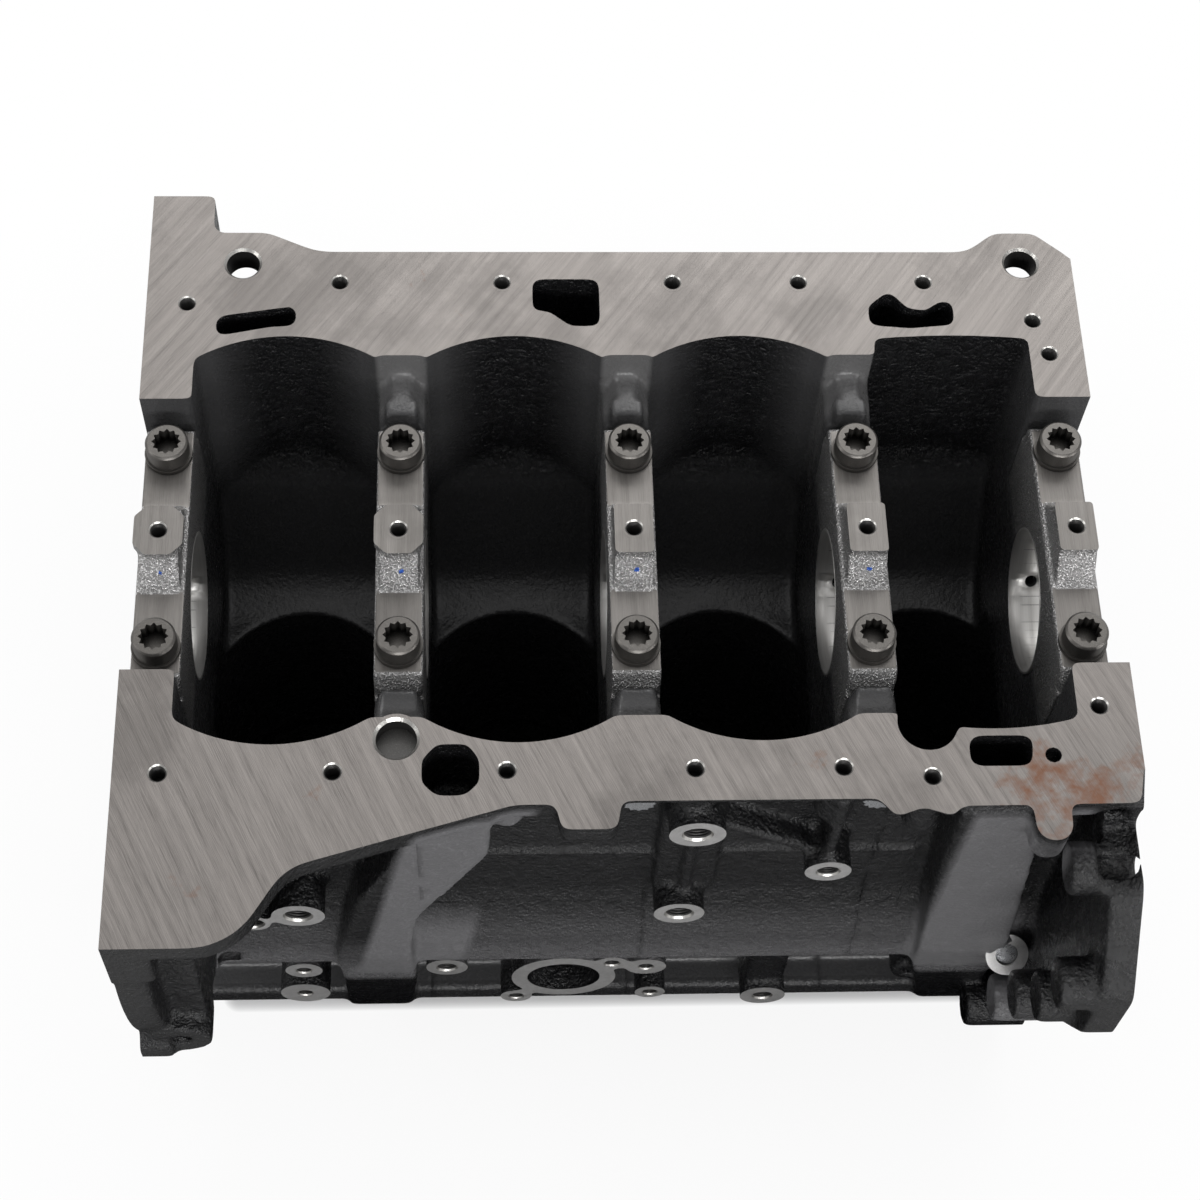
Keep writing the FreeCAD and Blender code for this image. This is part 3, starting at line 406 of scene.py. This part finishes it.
# ---- mesh helpers -------------------------------------------------------------------------------
def new_object(name, mesh):
    made = bpy.data.objects.new(name, mesh)
    scene.collection.objects.link(made)
    return made


def bmesh_of(mesh):
    shell = bmesh.new()
    shell.from_mesh(mesh)
    return shell


def merged(node):
    """A bmesh of a CAD node with its loose triangles joined."""
    shell = bmesh_of(nodes[node].data)
    bmesh.ops.remove_doubles(shell, verts=shell.verts, dist=weld_distance)
    shell.normal_update()
    return shell


class Face:
    """A flat machined face of the CAD: its plane, its reach and the round rims of its holes."""

    def __init__(self, faces, axis):
        self.axis = axis
        self.verts = {v for f in faces for v in f.verts}
        self.level = sum(v.co.dot(axis) for v in self.verts) / len(self.verts)
        places = np.array([v.co for v in self.verts])
        self.low, self.high = places.min(0), places.max(0)
        own = set(faces)
        outlines = loops({e for f in faces for e in f.edges if sum(g in own for g in e.link_faces) == 1})
        self.pierced = len(outlines) > 1
        widest = 0.49 * max(self.high - self.low)
        rims = [rim for rim in map(round_rim, outlines) if rim]
        self.rims = [(centre, radius) for centre, radius in rims if radius < widest]

    def stock(self, shell_stock):
        for v in self.verts:
            v.co += self.axis * shell_stock


def loops(edges):
    """Chains of edges that share vertices, each as a list of vertices."""
    left, found = set(edges), []
    by_vert = {}
    for e in edges:
        for v in e.verts:
            by_vert.setdefault(v, []).append(e)
    while left:
        chain, queue = set(), [left.pop()]
        while queue:
            e = queue.pop()
            chain.update(e.verts)
            for v in e.verts:
                for other in by_vert[v]:
                    if other in left:
                        left.remove(other)
                        queue.append(other)
        found.append(list(chain))
    return found


def round_rim(verts):
    """(centre, radius) of a loop if it is a circle, else None."""
    places = np.array([v.co for v in verts])
    if len(places) < 30:
        return None
    middle = (places.min(0) + places.max(0)) / 2
    reach = np.linalg.norm(places - middle, axis=1)
    if reach.std() > 0.004 * reach.mean():
        return None
    return Vector(middle), float(reach.mean())


def machined_faces(shell, axis, keep):
    """The flat islands that face along an axis and pass a test."""
    axis = Vector(axis)
    left = {f for f in shell.faces if f.normal.dot(axis) > 0.9999}
    found = []
    while left:
        seed = left.pop()
        level = seed.calc_center_median().dot(axis)
        island, queue = [seed], [seed]
        while queue:
            for e in queue.pop().edges:
                for other in e.link_faces:
                    if other in left and abs(other.calc_center_median().dot(axis) - level) < 2e-5:
                        left.remove(other)
                        island.append(other)
                        queue.append(other)
        face = Face(island, axis)
        if keep(face):
            found.append(face)
    return found


def cast_skin(name, shell, grain, passes):
    """The casting before it is machined: one closed skin with its edges blended."""
    mesh = bpy.data.meshes.new(name)
    shell.to_mesh(mesh)
    rough = new_object(name, mesh)
    remesh = rough.modifiers.new("cast", "REMESH")
    remesh.mode, remesh.voxel_size = "VOXEL", grain
    blend = rough.modifiers.new("blend", "SMOOTH")
    blend.factor, blend.iterations = 0.5, passes
    skin = bpy.data.meshes.new_from_object(rough.evaluated_get(bpy.context.evaluated_depsgraph_get()))
    bpy.data.objects.remove(rough)
    return skin


def places_of(mesh):
    places = np.empty(len(mesh.vertices) * 3)
    mesh.vertices.foreach_get("co", places)
    return places.reshape(-1, 3)


def round_axis(places, centre, axis):
    """Where vertices lie along an axis, and how far away from it and which way."""
    away = places - np.array(centre)
    axis = np.array(axis)
    along = away @ axis
    across = away - np.outer(along, axis)
    return along, np.linalg.norm(across, axis=1), across


def set_radius(places, hit, distance, across, radius):
    """Moves the chosen vertices straight out or in to a radius."""
    scale = radius / np.maximum(distance[hit], 1e-6)
    places[hit] += across[hit] * (scale - 1)[:, None]


def drill(places, centre, axis, radius, depth, reach):
    """Pushes the vertices near a hole's wall out to its radius, from the rim down to its depth."""
    along, distance, across = round_axis(places, centre, axis)
    hit = (distance < radius) & (distance > radius - reach) & (along < 8 * MM) & (along > -depth)
    set_radius(places, hit, distance, across, radius)


def bore(places, centre, axis, radius, start, end, reach):
    """Brings vertices within reach of a bore's wall exactly on it."""
    along, distance, across = round_axis(places, centre, axis)
    hit = (abs(distance - radius) < reach) & (along > start) & (along < end)
    set_radius(places, hit, distance, across, radius)


def all_of(shell):
    return shell.verts[:] + shell.edges[:] + shell.faces[:]


def cut_off(skin, geometry, point, outward):
    """Takes off what lies beyond a plane, closes the skin there and returns its new faces."""
    cut = bmesh.ops.bisect_plane(skin, geom=geometry, dist=on_plane, plane_co=point, plane_no=outward,
                                 clear_outer=True)
    rim = [e for e in cut["geom_cut"] if isinstance(e, bmesh.types.BMEdge)]
    filled = bmesh.ops.triangle_fill(skin, edges=rim, normal=outward, use_beauty=False)
    for e in rim:
        if e.is_valid:
            e.smooth = False
    return [made for made in filled["geom"] if isinstance(made, bmesh.types.BMFace)]


def cut_flat(skin, geometry, level, axis):
    """Cuts the skin down to a flat milled surface."""
    for made in cut_off(skin, geometry, axis * (level - flush), axis):
        made.material_index = MILLED
        if made.normal.dot(axis) < 0:
            made.normal_flip()


def near_face(face, centres, margin):
    """Which of the skin's faces belong to a machined face and the stock on it."""
    low, high = face.low - margin, face.high + margin
    axis = np.array(face.axis)
    side = int(np.argmax(abs(axis)))
    if axis[side] > 0:
        high[side] = face.level + 2 * machining_stock
    else:
        low[side] = -face.level - 2 * machining_stock
    return np.flatnonzero(((centres > low) & (centres < high)).all(axis=1))


def milled_pads(skin, faces, margin):
    """The skin as a bmesh with its small machined faces cut, those that share a plane together."""
    centres = np.empty(len(skin.polygons) * 3)
    skin.polygons.foreach_get("center", centres)
    centres = centres.reshape(-1, 3)
    shell = bmesh_of(skin)
    shell.faces.ensure_lookup_table()
    levels = {}
    for face in faces:
        key = (tuple(face.axis), round(face.level, 5))
        levels.setdefault(key, set()).update(near_face(face, centres, margin))
    parts = [(key, [shell.faces[i] for i in sorted(chosen)]) for key, chosen in sorted(levels.items())]
    for (axis, level), part in parts:
        part = [f for f in part if f.is_valid]
        geometry = list({v for f in part for v in f.verts}) + list({e for f in part for e in f.edges}) + part
        cut_flat(shell, geometry, level, Vector(axis))
    return shell


def milled_planes(shell, planes):
    """Cuts the faces that run right across, and makes a mesh of the result."""
    for axis, level in planes:
        if any(v.co.dot(Vector(axis)) > level for v in shell.verts):
            cut_flat(shell, all_of(shell), level, Vector(axis))
    for f in shell.faces:
        f.smooth = f.material_index == CAST
    mesh = bpy.data.meshes.new("milled")
    shell.to_mesh(mesh)
    shell.free()
    return mesh


def mark_flat(mesh, centre, axis, reach, finish):
    """Gives the skin's faces that lie flat in a plane, within reach of a point, a milled finish."""
    values = np.empty((2, len(mesh.polygons) * 3))
    mesh.polygons.foreach_get("center", values[0])
    mesh.polygons.foreach_get("normal", values[1])
    centres, normals = values[0].reshape(-1, 3), values[1].reshape(-1, 3)
    axis = np.array(axis)
    away = centres - np.array(centre)
    flat = (abs(away @ axis) < 1.1 * MM) & (normals @ axis > 0.95) & (np.linalg.norm(away, axis=1) < reach)
    for i in np.flatnonzero(flat):
        mesh.polygons[i].material_index = finish
        mesh.polygons[i].use_smooth = False


def finish_mesh(name, mesh, materials, replaced=None):
    """Makes a piece of a mesh, which may stand for a CAD node."""
    for made in materials:
        mesh.materials.append(made)
    piece = new_object(name, mesh)
    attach(piece, "root")
    if replaced:
        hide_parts(replaced)
    return piece


def thinned(mesh, limit):
    """The mesh with its flattest faces collapsed until it is under a number of triangles."""
    count = sum(len(p.vertices) - 2 for p in mesh.polygons)
    if count <= limit:
        return mesh
    holder = new_object("thinning", mesh)
    fewer = holder.modifiers.new("thin", "DECIMATE")
    fewer.ratio = limit / count
    thin = bpy.data.meshes.new_from_object(holder.evaluated_get(bpy.context.evaluated_depsgraph_get()))
    bpy.data.objects.remove(holder)
    return thin


# ---- the block ----------------------------------------------------------------------------------
block_ends = {(0, 0, 1): rail_z, (0, 0, -1): 0.0, (1, 0, 0): front_x, (-1, 0, 0): -rear_x}


def end_faces(shell):
    """The faces milled right across the block: rail, deck and the two ends."""
    found = []
    for axis, level in block_ends.items():
        found += machined_faces(shell, axis, lambda face: abs(face.level - level) < 1e-4)
    return found


def under_bolt(face):
    """Whether a face is the seat of a cross bolt, or the wall round it."""
    middles = [sum(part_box(name), Vector()) / 2 for name in nodes if name.startswith("cross_bolt")]
    return any(abs(middle.x - rim.x) < MM and abs(middle.z - rim.z) < MM
               for middle in middles for rim, _ in face.rims)


def pad_faces(shell):
    """The small machined pads and bosses on the two long sides."""
    found = []
    for axis in ((0, -1, 0), (0, 1, 0)):
        found += machined_faces(shell, axis, lambda face: face.level > wall_y and face.pierced
                                and any(radius < 8 * MM for _, radius in face.rims) and not under_bolt(face))
    return found


def block_skin():
    """The whole casting with its pads milled, and the rims of its holes as (axis, centre, radius)."""
    shell = merged("cylinder_block")
    pads, ends = pad_faces(shell), end_faces(shell)
    faces = pads + ends
    rims = [(face.axis, centre, radius) for face in faces for centre, radius in face.rims]
    for face in faces:
        face.stock(machining_stock)
    skin = cast_skin("casting", shell, block_grain, block_blend)
    shell.free()
    places = places_of(skin)
    for axis, centre, radius in rims:
        drill(places, centre, axis, radius + 0.5 * MM, hole_depth, hole_reach)
    for m in bore_mounts:
        centre = Vector((m["pos_m"][0], m["pos_m"][1], 0))
        bore(places, centre, (0, 0, 1), bore_radius, -8 * MM, bore_top - 1 * MM, 1.2 * MM)
    skin.vertices.foreach_set("co", places.ravel())
    return milled_pads(skin, pads, 3 * MM), rims


def sliced(whole, low, high):
    """The part of a closed bmesh between two X planes, closed again."""
    part = whole.copy()
    for level, outward in ((low, -1), (high, 1)):
        if level is None:
            continue
        cut_off(part, all_of(part), (level, 0, 0), (outward, 0, 0))
    return part


def make_block():
    """The casting in four pieces, and the rims of its holes."""
    milled, rims = block_skin()
    levels = [None] + block_cuts + [None]
    for i, (low, high) in enumerate(zip(levels, levels[1:])):
        mesh = thinned(milled_planes(sliced(milled, low, high), block_ends.items()), piece_triangles)
        for polygon in mesh.polygons:
            if polygon.material_index == MILLED and abs(polygon.normal.y) > 0.5:
                polygon.material_index = PAD
        finish_mesh("block_casting_%d" % (i + 1), mesh, [casting_paint, milled_rail, milled_pad],
                    "cylinder_block")
    milled.free()
    return rims


# ---- the main bearing caps ----------------------------------------------------------------------
def make_cap(node):
    """One bearing cap with its raised pads and bolt seats milled, and the rims of its holes."""
    shell = merged(node)
    faces = machined_faces(shell, (0, 0, 1), lambda face: abs(face.level - rail_z) < 1e-4)
    rims = [(face.axis, centre, radius) for face in faces for centre, radius in face.rims]
    for face in faces:
        face.stock(cap_stock)
    skin = cast_skin(node + "_cast", shell, cap_grain, cap_blend)
    shell.free()
    places = places_of(skin)
    for axis, centre, radius in rims:
        drill(places, centre, axis, radius + 0.3 * MM, hole_depth, hole_reach)
    skin.vertices.foreach_set("co", places.ravel())
    mesh = thinned(milled_planes(bmesh_of(skin), [((0, 0, 1), rail_z)]), cap_triangles)
    mark_flat(mesh, (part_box(node)[0].x, 0, seat_z), (0, 0, 1), 80 * MM, MILLED)
    finish_mesh(node + "_casting", mesh, [cap_skin, milled_cap], node)
    return rims


def from_crank(place):
    """From the crank's axis straight out to a place."""
    return Vector((0, place.y, place.z - crank_z))


def lining(name, sources, grow):
    """The bored wall that the crank bearing shells sit in, as a thin closed band."""
    band = bmesh.new()
    for node in sources:
        shell = merged(node)
        for f in shell.faces:
            out = from_crank(f.calc_center_median())
            if out.length < crank_radius + 0.3 * MM and f.normal.dot(out.normalized()) < -0.98:
                if all(abs(from_crank(v.co).length - crank_radius) < 0.15 * MM for v in f.verts):
                    band.faces.new([band.verts.new(v.co) for v in f.verts])
        shell.free()
    bmesh.ops.remove_doubles(band, verts=band.verts, dist=weld_distance)
    for v in band.verts:
        v.co -= from_crank(v.co).normalized() * grow
    mesh = bpy.data.meshes.new(name)
    band.to_mesh(mesh)
    band.free()
    made = new_object(name, mesh)
    wall = made.modifiers.new("wall", "SOLIDIFY")
    wall.thickness, wall.offset = 0.8 * MM, -1
    solid = bpy.data.meshes.new_from_object(made.evaluated_get(bpy.context.evaluated_depsgraph_get()))
    bpy.data.objects.remove(made)
    for polygon in solid.polygons:
        polygon.use_smooth = abs(polygon.normal.x) < 0.5
    return solid


# ---- cut holes ----------------------------------------------------------------------------------
chamfer_step = 3                               # the step of every profile that goes down from its rim


def lathed(name, profile, chamfer, steps=40):
    """A closed ring or cup round Z, with one profile step marked as its chamfer and the steps after it as
    wall.
    """
    turned = bmesh.new()
    rows = []
    for radius, height in profile:
        if radius == 0:
            rows.append([turned.verts.new((0, 0, height))] * steps)
            continue
        angles = [2 * math.pi * i / steps for i in range(steps)]
        rows.append([turned.verts.new((radius * math.cos(a), radius * math.sin(a), height)) for a in angles])
    cut = turned.faces.layers.bool.new("cut")
    wall = turned.faces.layers.bool.new("wall")
    for step, (row, following) in enumerate(zip(rows, rows[1:])):
        for i in range(steps):
            corners = [row[i], following[i], following[(i + 1) % steps], row[(i + 1) % steps]]
            face = turned.faces.new(list(dict.fromkeys(corners)))
            face[cut], face[wall] = step == chamfer, step > chamfer
    bmesh.ops.remove_doubles(turned, verts=turned.verts, dist=1e-5)
    bmesh.ops.recalc_face_normals(turned, faces=turned.faces)
    mesh = bpy.data.meshes.new(name)
    turned.to_mesh(mesh)
    turned.free()
    return mesh


def threaded_profile():
    """From the flush rim, down the chamfer and the thread to a closed bottom, for a rim of radius 1."""
    outer, root, crest, pitch, turns = 1.32, 0.86, 0.77, 0.19, 13
    chamfer, wall_end, bottom = -0.15, -0.3 - pitch * turns, -0.3 - pitch * turns - 0.2
    profile = [(0, bottom), (outer, bottom), (outer, 0.0), (1.0, 0.0), (root, chamfer)]
    for turn in range(turns):
        top = chamfer - pitch * turn
        profile += [(crest, top - pitch * 0.45), (crest, top - pitch * 0.55), (root, top - pitch)]
    return profile + [(root, wall_end), (0, wall_end)]


def sleeve_profile():
    """A plain bored hole with a small chamfer, as a closed tube, for a rim of radius 1."""
    outer, wall, length, chamfer = 1.16, 0.87, 1.55, -0.13
    return [(wall, -length), (outer, -length), (outer, 0.0), (1.0, 0.0), (wall, chamfer), (wall, -length)]


def washer_profile():
    """The milled ring round the duct's plug, for a hole of radius 1."""
    outer, foot, top = 1.88, -0.2, 0.01
    return [(1.0, foot), (outer, foot), (outer, top), (1.0, top), (1.0, foot)]


def hole_tree():
    """Sets one insert in every point, turned and sized by the point's own values."""
    tree = bpy.data.node_groups.new("set in holes", "GeometryNodeTree")
    for label, kind in (("Geometry", "Geometry"), ("Insert", "Object"), ("Face", "Material"),
                        ("Cut", "Material"), ("Wall", "Material")):
        tree.interface.new_socket(label, in_out="INPUT", socket_type="NodeSocket" + kind)
    tree.interface.new_socket("Geometry", in_out="OUTPUT", socket_type="NodeSocketGeometry")
    n = Nodes(tree)
    given = tree.nodes.new("NodeGroupInput").outputs
    result = tree.nodes.new("NodeGroupOutput").inputs
    shape = n.add("GeometryNodeObjectInfo", {"Object": given["Insert"]}, out="Geometry")
    turn = n.add("GeometryNodeInputNamedAttribute", {"Name": "turn"}, data_type="FLOAT_VECTOR")
    size = n.add("GeometryNodeInputNamedAttribute", {"Name": "size"}, data_type="FLOAT")
    placed = n.add("GeometryNodeInstanceOnPoints", {"Points": given["Geometry"], "Instance": shape,
                                                    "Rotation": turn, "Scale": size})
    solid = n.add("GeometryNodeRealizeInstances", {"Geometry": placed})
    done = n.add("GeometryNodeSetMaterial", {"Geometry": solid, "Material": given["Face"]})
    for label in ("Cut", "Wall"):
        chosen = n.add("GeometryNodeInputNamedAttribute", {"Name": label.lower()}, data_type="BOOLEAN")
        done = n.add("GeometryNodeSetMaterial", {"Geometry": done, "Selection": chosen,
                                                 "Material": given[label]})
    tree.links.new(done, result["Geometry"])
    return tree


def set_in_holes(name, rims, profile, face_finish, wall_finish):
    """One piece with an insert in each round rim."""
    insert = new_object("insert", lathed("insert", profile, chamfer_step))
    points = bpy.data.meshes.new("points")
    points.from_pydata([tuple(centre) for _, centre, _ in rims], [], [])
    points.attributes.new("turn", "FLOAT_VECTOR", "POINT")
    points.attributes.new("size", "FLOAT", "POINT")
    for i, (axis, _, radius) in enumerate(rims):
        points.attributes["turn"].data[i].vector = axis.to_track_quat("Z", "Y").to_euler()
        points.attributes["size"].data[i].value = radius
    holder = new_object("holder", points)
    tree = hole_tree()
    setter = holder.modifiers.new("holes", "NODES")
    setter.node_group = tree
    inputs = {"Insert": insert, "Face": face_finish, "Cut": fresh_cut, "Wall": wall_finish}
    for item in tree.interface.items_tree:
        if item.in_out == "INPUT" and item.name in inputs:
            setter[item.identifier] = inputs[item.name]
    mesh = bpy.data.meshes.new_from_object(holder.evaluated_get(bpy.context.evaluated_depsgraph_get()))
    bpy.data.objects.remove(holder)
    bpy.data.objects.remove(insert)
    return finish_mesh(name, mesh, [])


def of_radius(rims, smallest, largest):
    return [rim for rim in rims if smallest < rim[2] < largest]


block_rims = make_block()
caps = ["main_cap_%d" % (i + 1) for i in range(5)]
cap_rims = [rim for cap in caps for rim in make_cap(cap)]

# The deck's holes and those high up on the timing face are left plain.
threads = [(axis, centre, radius) for axis, centre, radius in of_radius(block_rims, 3 * MM, 6.3 * MM)
           if axis.z > -0.5 and not (axis.x > 0.5 and centre.z > 0.24)]
rail_threads = [rim for rim in threads if rim[0].z > 0.5]
pad_threads = [rim for rim in threads if rim[0].z < 0.5]
hoist_holes = [rim for rim in of_radius(block_rims, 7 * MM, 9 * MM) if rim[0].z > 0.5]
cap_threads = of_radius(cap_rims, 3 * MM, 4.5 * MM)
boss_axis = Vector((0, -math.cos(plug_tilt), math.sin(plug_tilt)))
duct_boss = [(boss_axis, Vector(plug_face), 4.7 * MM)]
for name, rims, profile, face_finish, slot_name in (
        ("rail_threads", rail_threads, threaded_profile(), milled_rail, "block_casting"),
        ("pad_threads", pad_threads, threaded_profile(), milled_pad, "block_casting"),
        ("hoist_holes", hoist_holes, sleeve_profile(), milled_rail, "block_casting"),
        ("cap_threads", cap_threads, threaded_profile(), milled_cap, "cap_iron"),
        ("duct_boss_face", duct_boss, washer_profile(), milled_pad, "block_casting")):
    set_in_holes(name, rims, profile, face_finish, thread_wall)
finish_mesh("bearing_housings", lining("bearing_housings", ["cylinder_block"] + caps, 0.08 * MM), [bored])

# ---- bolts and plugs that keep their CAD shape --------------------------------------------------
dress = {"main_bolt": (phosphate, "phosphate_steel"), "cross_bolt": (zinc, "zinc_steel"),
         "rail_bore_plug": (plug_steel, "plug_steel"), "core_plug": (plug_steel, "plug_steel"),
         "duct_plug": (zinc, "plug_steel")}
for node, obj in nodes.items():
    for start, (finish, slot_name) in dress.items():
        if node.startswith(start):
            obj.data.materials.clear()
            obj.data.materials.append(finish)
            weld = obj.modifiers.new("weld", "WELD")
            weld.merge_threshold = weld_distance
            edge = obj.modifiers.new("edge", "BEVEL")
            edge.width, edge.segments, edge.limit_method = 0.25 * MM, 2, "ANGLE"
            edge.angle_limit = math.radians(35)
            edge.use_clamp_overlap = True

# ---- floor, light and camera --------------------------------------------------------------------
def white_floor():
    """Paper that is white to the camera, but for the object's foot. Gloss sees it white only further out;
    nearer the object it is painted dark, a painted shade in its reflections.
    """
    floor_mesh = bpy.data.meshes.new("floor")
    half = 6.0
    corners = [(-half, -half, 0), (half, -half, 0), (half, half, 0), (-half, half, 0)]
    floor_mesh.from_pydata(corners, [], [(0, 1, 2, 3)])
    floor = new_object("floor", floor_mesh)
    made, n, shader = material("white paper")
    tree = made.node_tree
    feed(n, shader, Base_Color=(0.86, 0.86, 0.86, 1), Roughness=0.9)
    paper = n.add("ShaderNodeEmission", {"Color": (1, 1, 1, 1), "Strength": 1.0})
    path = tree.nodes.new("ShaderNodeLightPath")
    place = n.add("ShaderNodeTexCoord", out=3)
    side = n.add("ShaderNodeVectorMath", {0: place, 1: (0, 0, 0)}, operation="ABSOLUTE")
    footprint = (front_x - 0.012, 0.082, 0)
    past = n.add("ShaderNodeVectorMath", {0: side, 1: footprint}, operation="SUBTRACT")
    past = n.add("ShaderNodeVectorMath", {0: past, 1: (0, 0, 0)}, operation="MAXIMUM")
    gap = n.add("ShaderNodeVectorMath", {0: past}, out=1, operation="LENGTH")
    seen = n.math("MULTIPLY", path.outputs["Is Camera Ray"], n.span(gap, 0.0, 0.008))
    # Painted shade: to gloss the floor is dark near the object and brightens only further out.
    mirrored = n.math("MULTIPLY", path.outputs["Is Glossy Ray"], n.span(gap, 0.04, 0.5))
    tree.links.new(n.math("MAXIMUM", seen, mirrored), paper.node.inputs["Strength"])
    seen = n.math("MULTIPLY", seen, n.span(gap, 0.02, 0.3, 0.86, 1.0))
    seen = n.math("MAXIMUM", seen, path.outputs["Is Glossy Ray"])
    blend = tree.nodes.new("ShaderNodeMixShader")
    tree.links.new(seen, blend.inputs[0])
    tree.links.new(shader.outputs[0], blend.inputs[1])
    tree.links.new(paper, blend.inputs[2])
    tree.links.new(blend.outputs[0], tree.nodes["Material Output"].inputs[0])
    floor_mesh.materials.append(made)


def white_room():
    """A world that is white to the camera and grey as a light. Gloss sees it brightest high up behind."""
    world = bpy.data.worlds.new("studio")
    world.use_nodes = True
    tree = world.node_tree
    n = Nodes(tree)
    path = tree.nodes.new("ShaderNodeLightPath")
    seen = n.math("MAXIMUM", path.outputs["Is Camera Ray"], path.outputs["Is Transmission Ray"])
    aim = n.add("ShaderNodeTexCoord", out=0)
    split = n.add("ShaderNodeSeparateXYZ", {0: aim}).node.outputs
    above = n.span(n.math("ADD", split[2], n.math("MULTIPLY", split[1], 0.6)), 0.1, 1.3, 0.25, 1.0)
    mirrored = n.math("MULTIPLY", path.outputs["Is Glossy Ray"], above)
    sky = n.mix(mirrored, (0.4, 0.4, 0.41, 1), (1, 1, 1, 1))
    back = tree.nodes["Background"]
    tree.links.new(n.mix(seen, sky, (1, 1, 1, 1)), back.inputs["Color"])
    back.inputs["Strength"].default_value = 1.0
    scene.world = world


def soft_box(name, place, aim, size, watts):
    """An oblong lamp at a place, turned to what it lights."""
    lamp = bpy.data.lights.new(name, "AREA")
    lamp.shape, lamp.size, lamp.size_y, lamp.energy = "RECTANGLE", size[0], size[1], watts
    made = new_object(name, lamp)
    made.location = place
    made.rotation_euler = (Vector(aim) - Vector(place)).to_track_quat("-Z", "Y").to_euler()


def camera():
    """The view down on the near side: pitch and yaw aim it, and roll turns the picture."""
    stand = (-0.0557, -0.4664, 1.0739)
    pitch, yaw, roll = 1.06757507, 0.0962744706, -0.0784536147
    ahead = Vector((math.sin(yaw) * math.cos(pitch), math.cos(yaw) * math.cos(pitch), -math.sin(pitch)))
    right = Vector((math.cos(yaw), -math.sin(yaw), 0))
    down = ahead.cross(right)
    turned = right * math.cos(roll) + down * math.sin(roll)
    under = down * math.cos(roll) - right * math.sin(roll)
    data = bpy.data.cameras.new("camera")
    data.sensor_width, data.lens = 36.0, 73.92
    made = new_object("camera", data)
    made.matrix_world = Matrix.LocRotScale(Vector(stand), Matrix((turned, -under, -ahead)).transposed(), None)
    scene.camera = made


white_floor()
white_room()
soft_box("key", place=(0.2, 1.15, 1.35), aim=(0, 0, 0.25), size=(1.6, 0.8), watts=13)
soft_box("side", place=(-1.3, -0.1, 0.9), aim=(0, 0, 0.2), size=(0.5, 0.5), watts=4)
soft_box("right", place=(1.3, -0.7, 0.5), aim=(0.1, 0, 0.12), size=(0.5, 0.4), watts=5)
soft_box("front", place=(0.1, -1.5, 0.95), aim=(0, 0, 0.2), size=(1.3, 0.35), watts=17)
camera()
scene.view_settings.view_transform = "Standard"
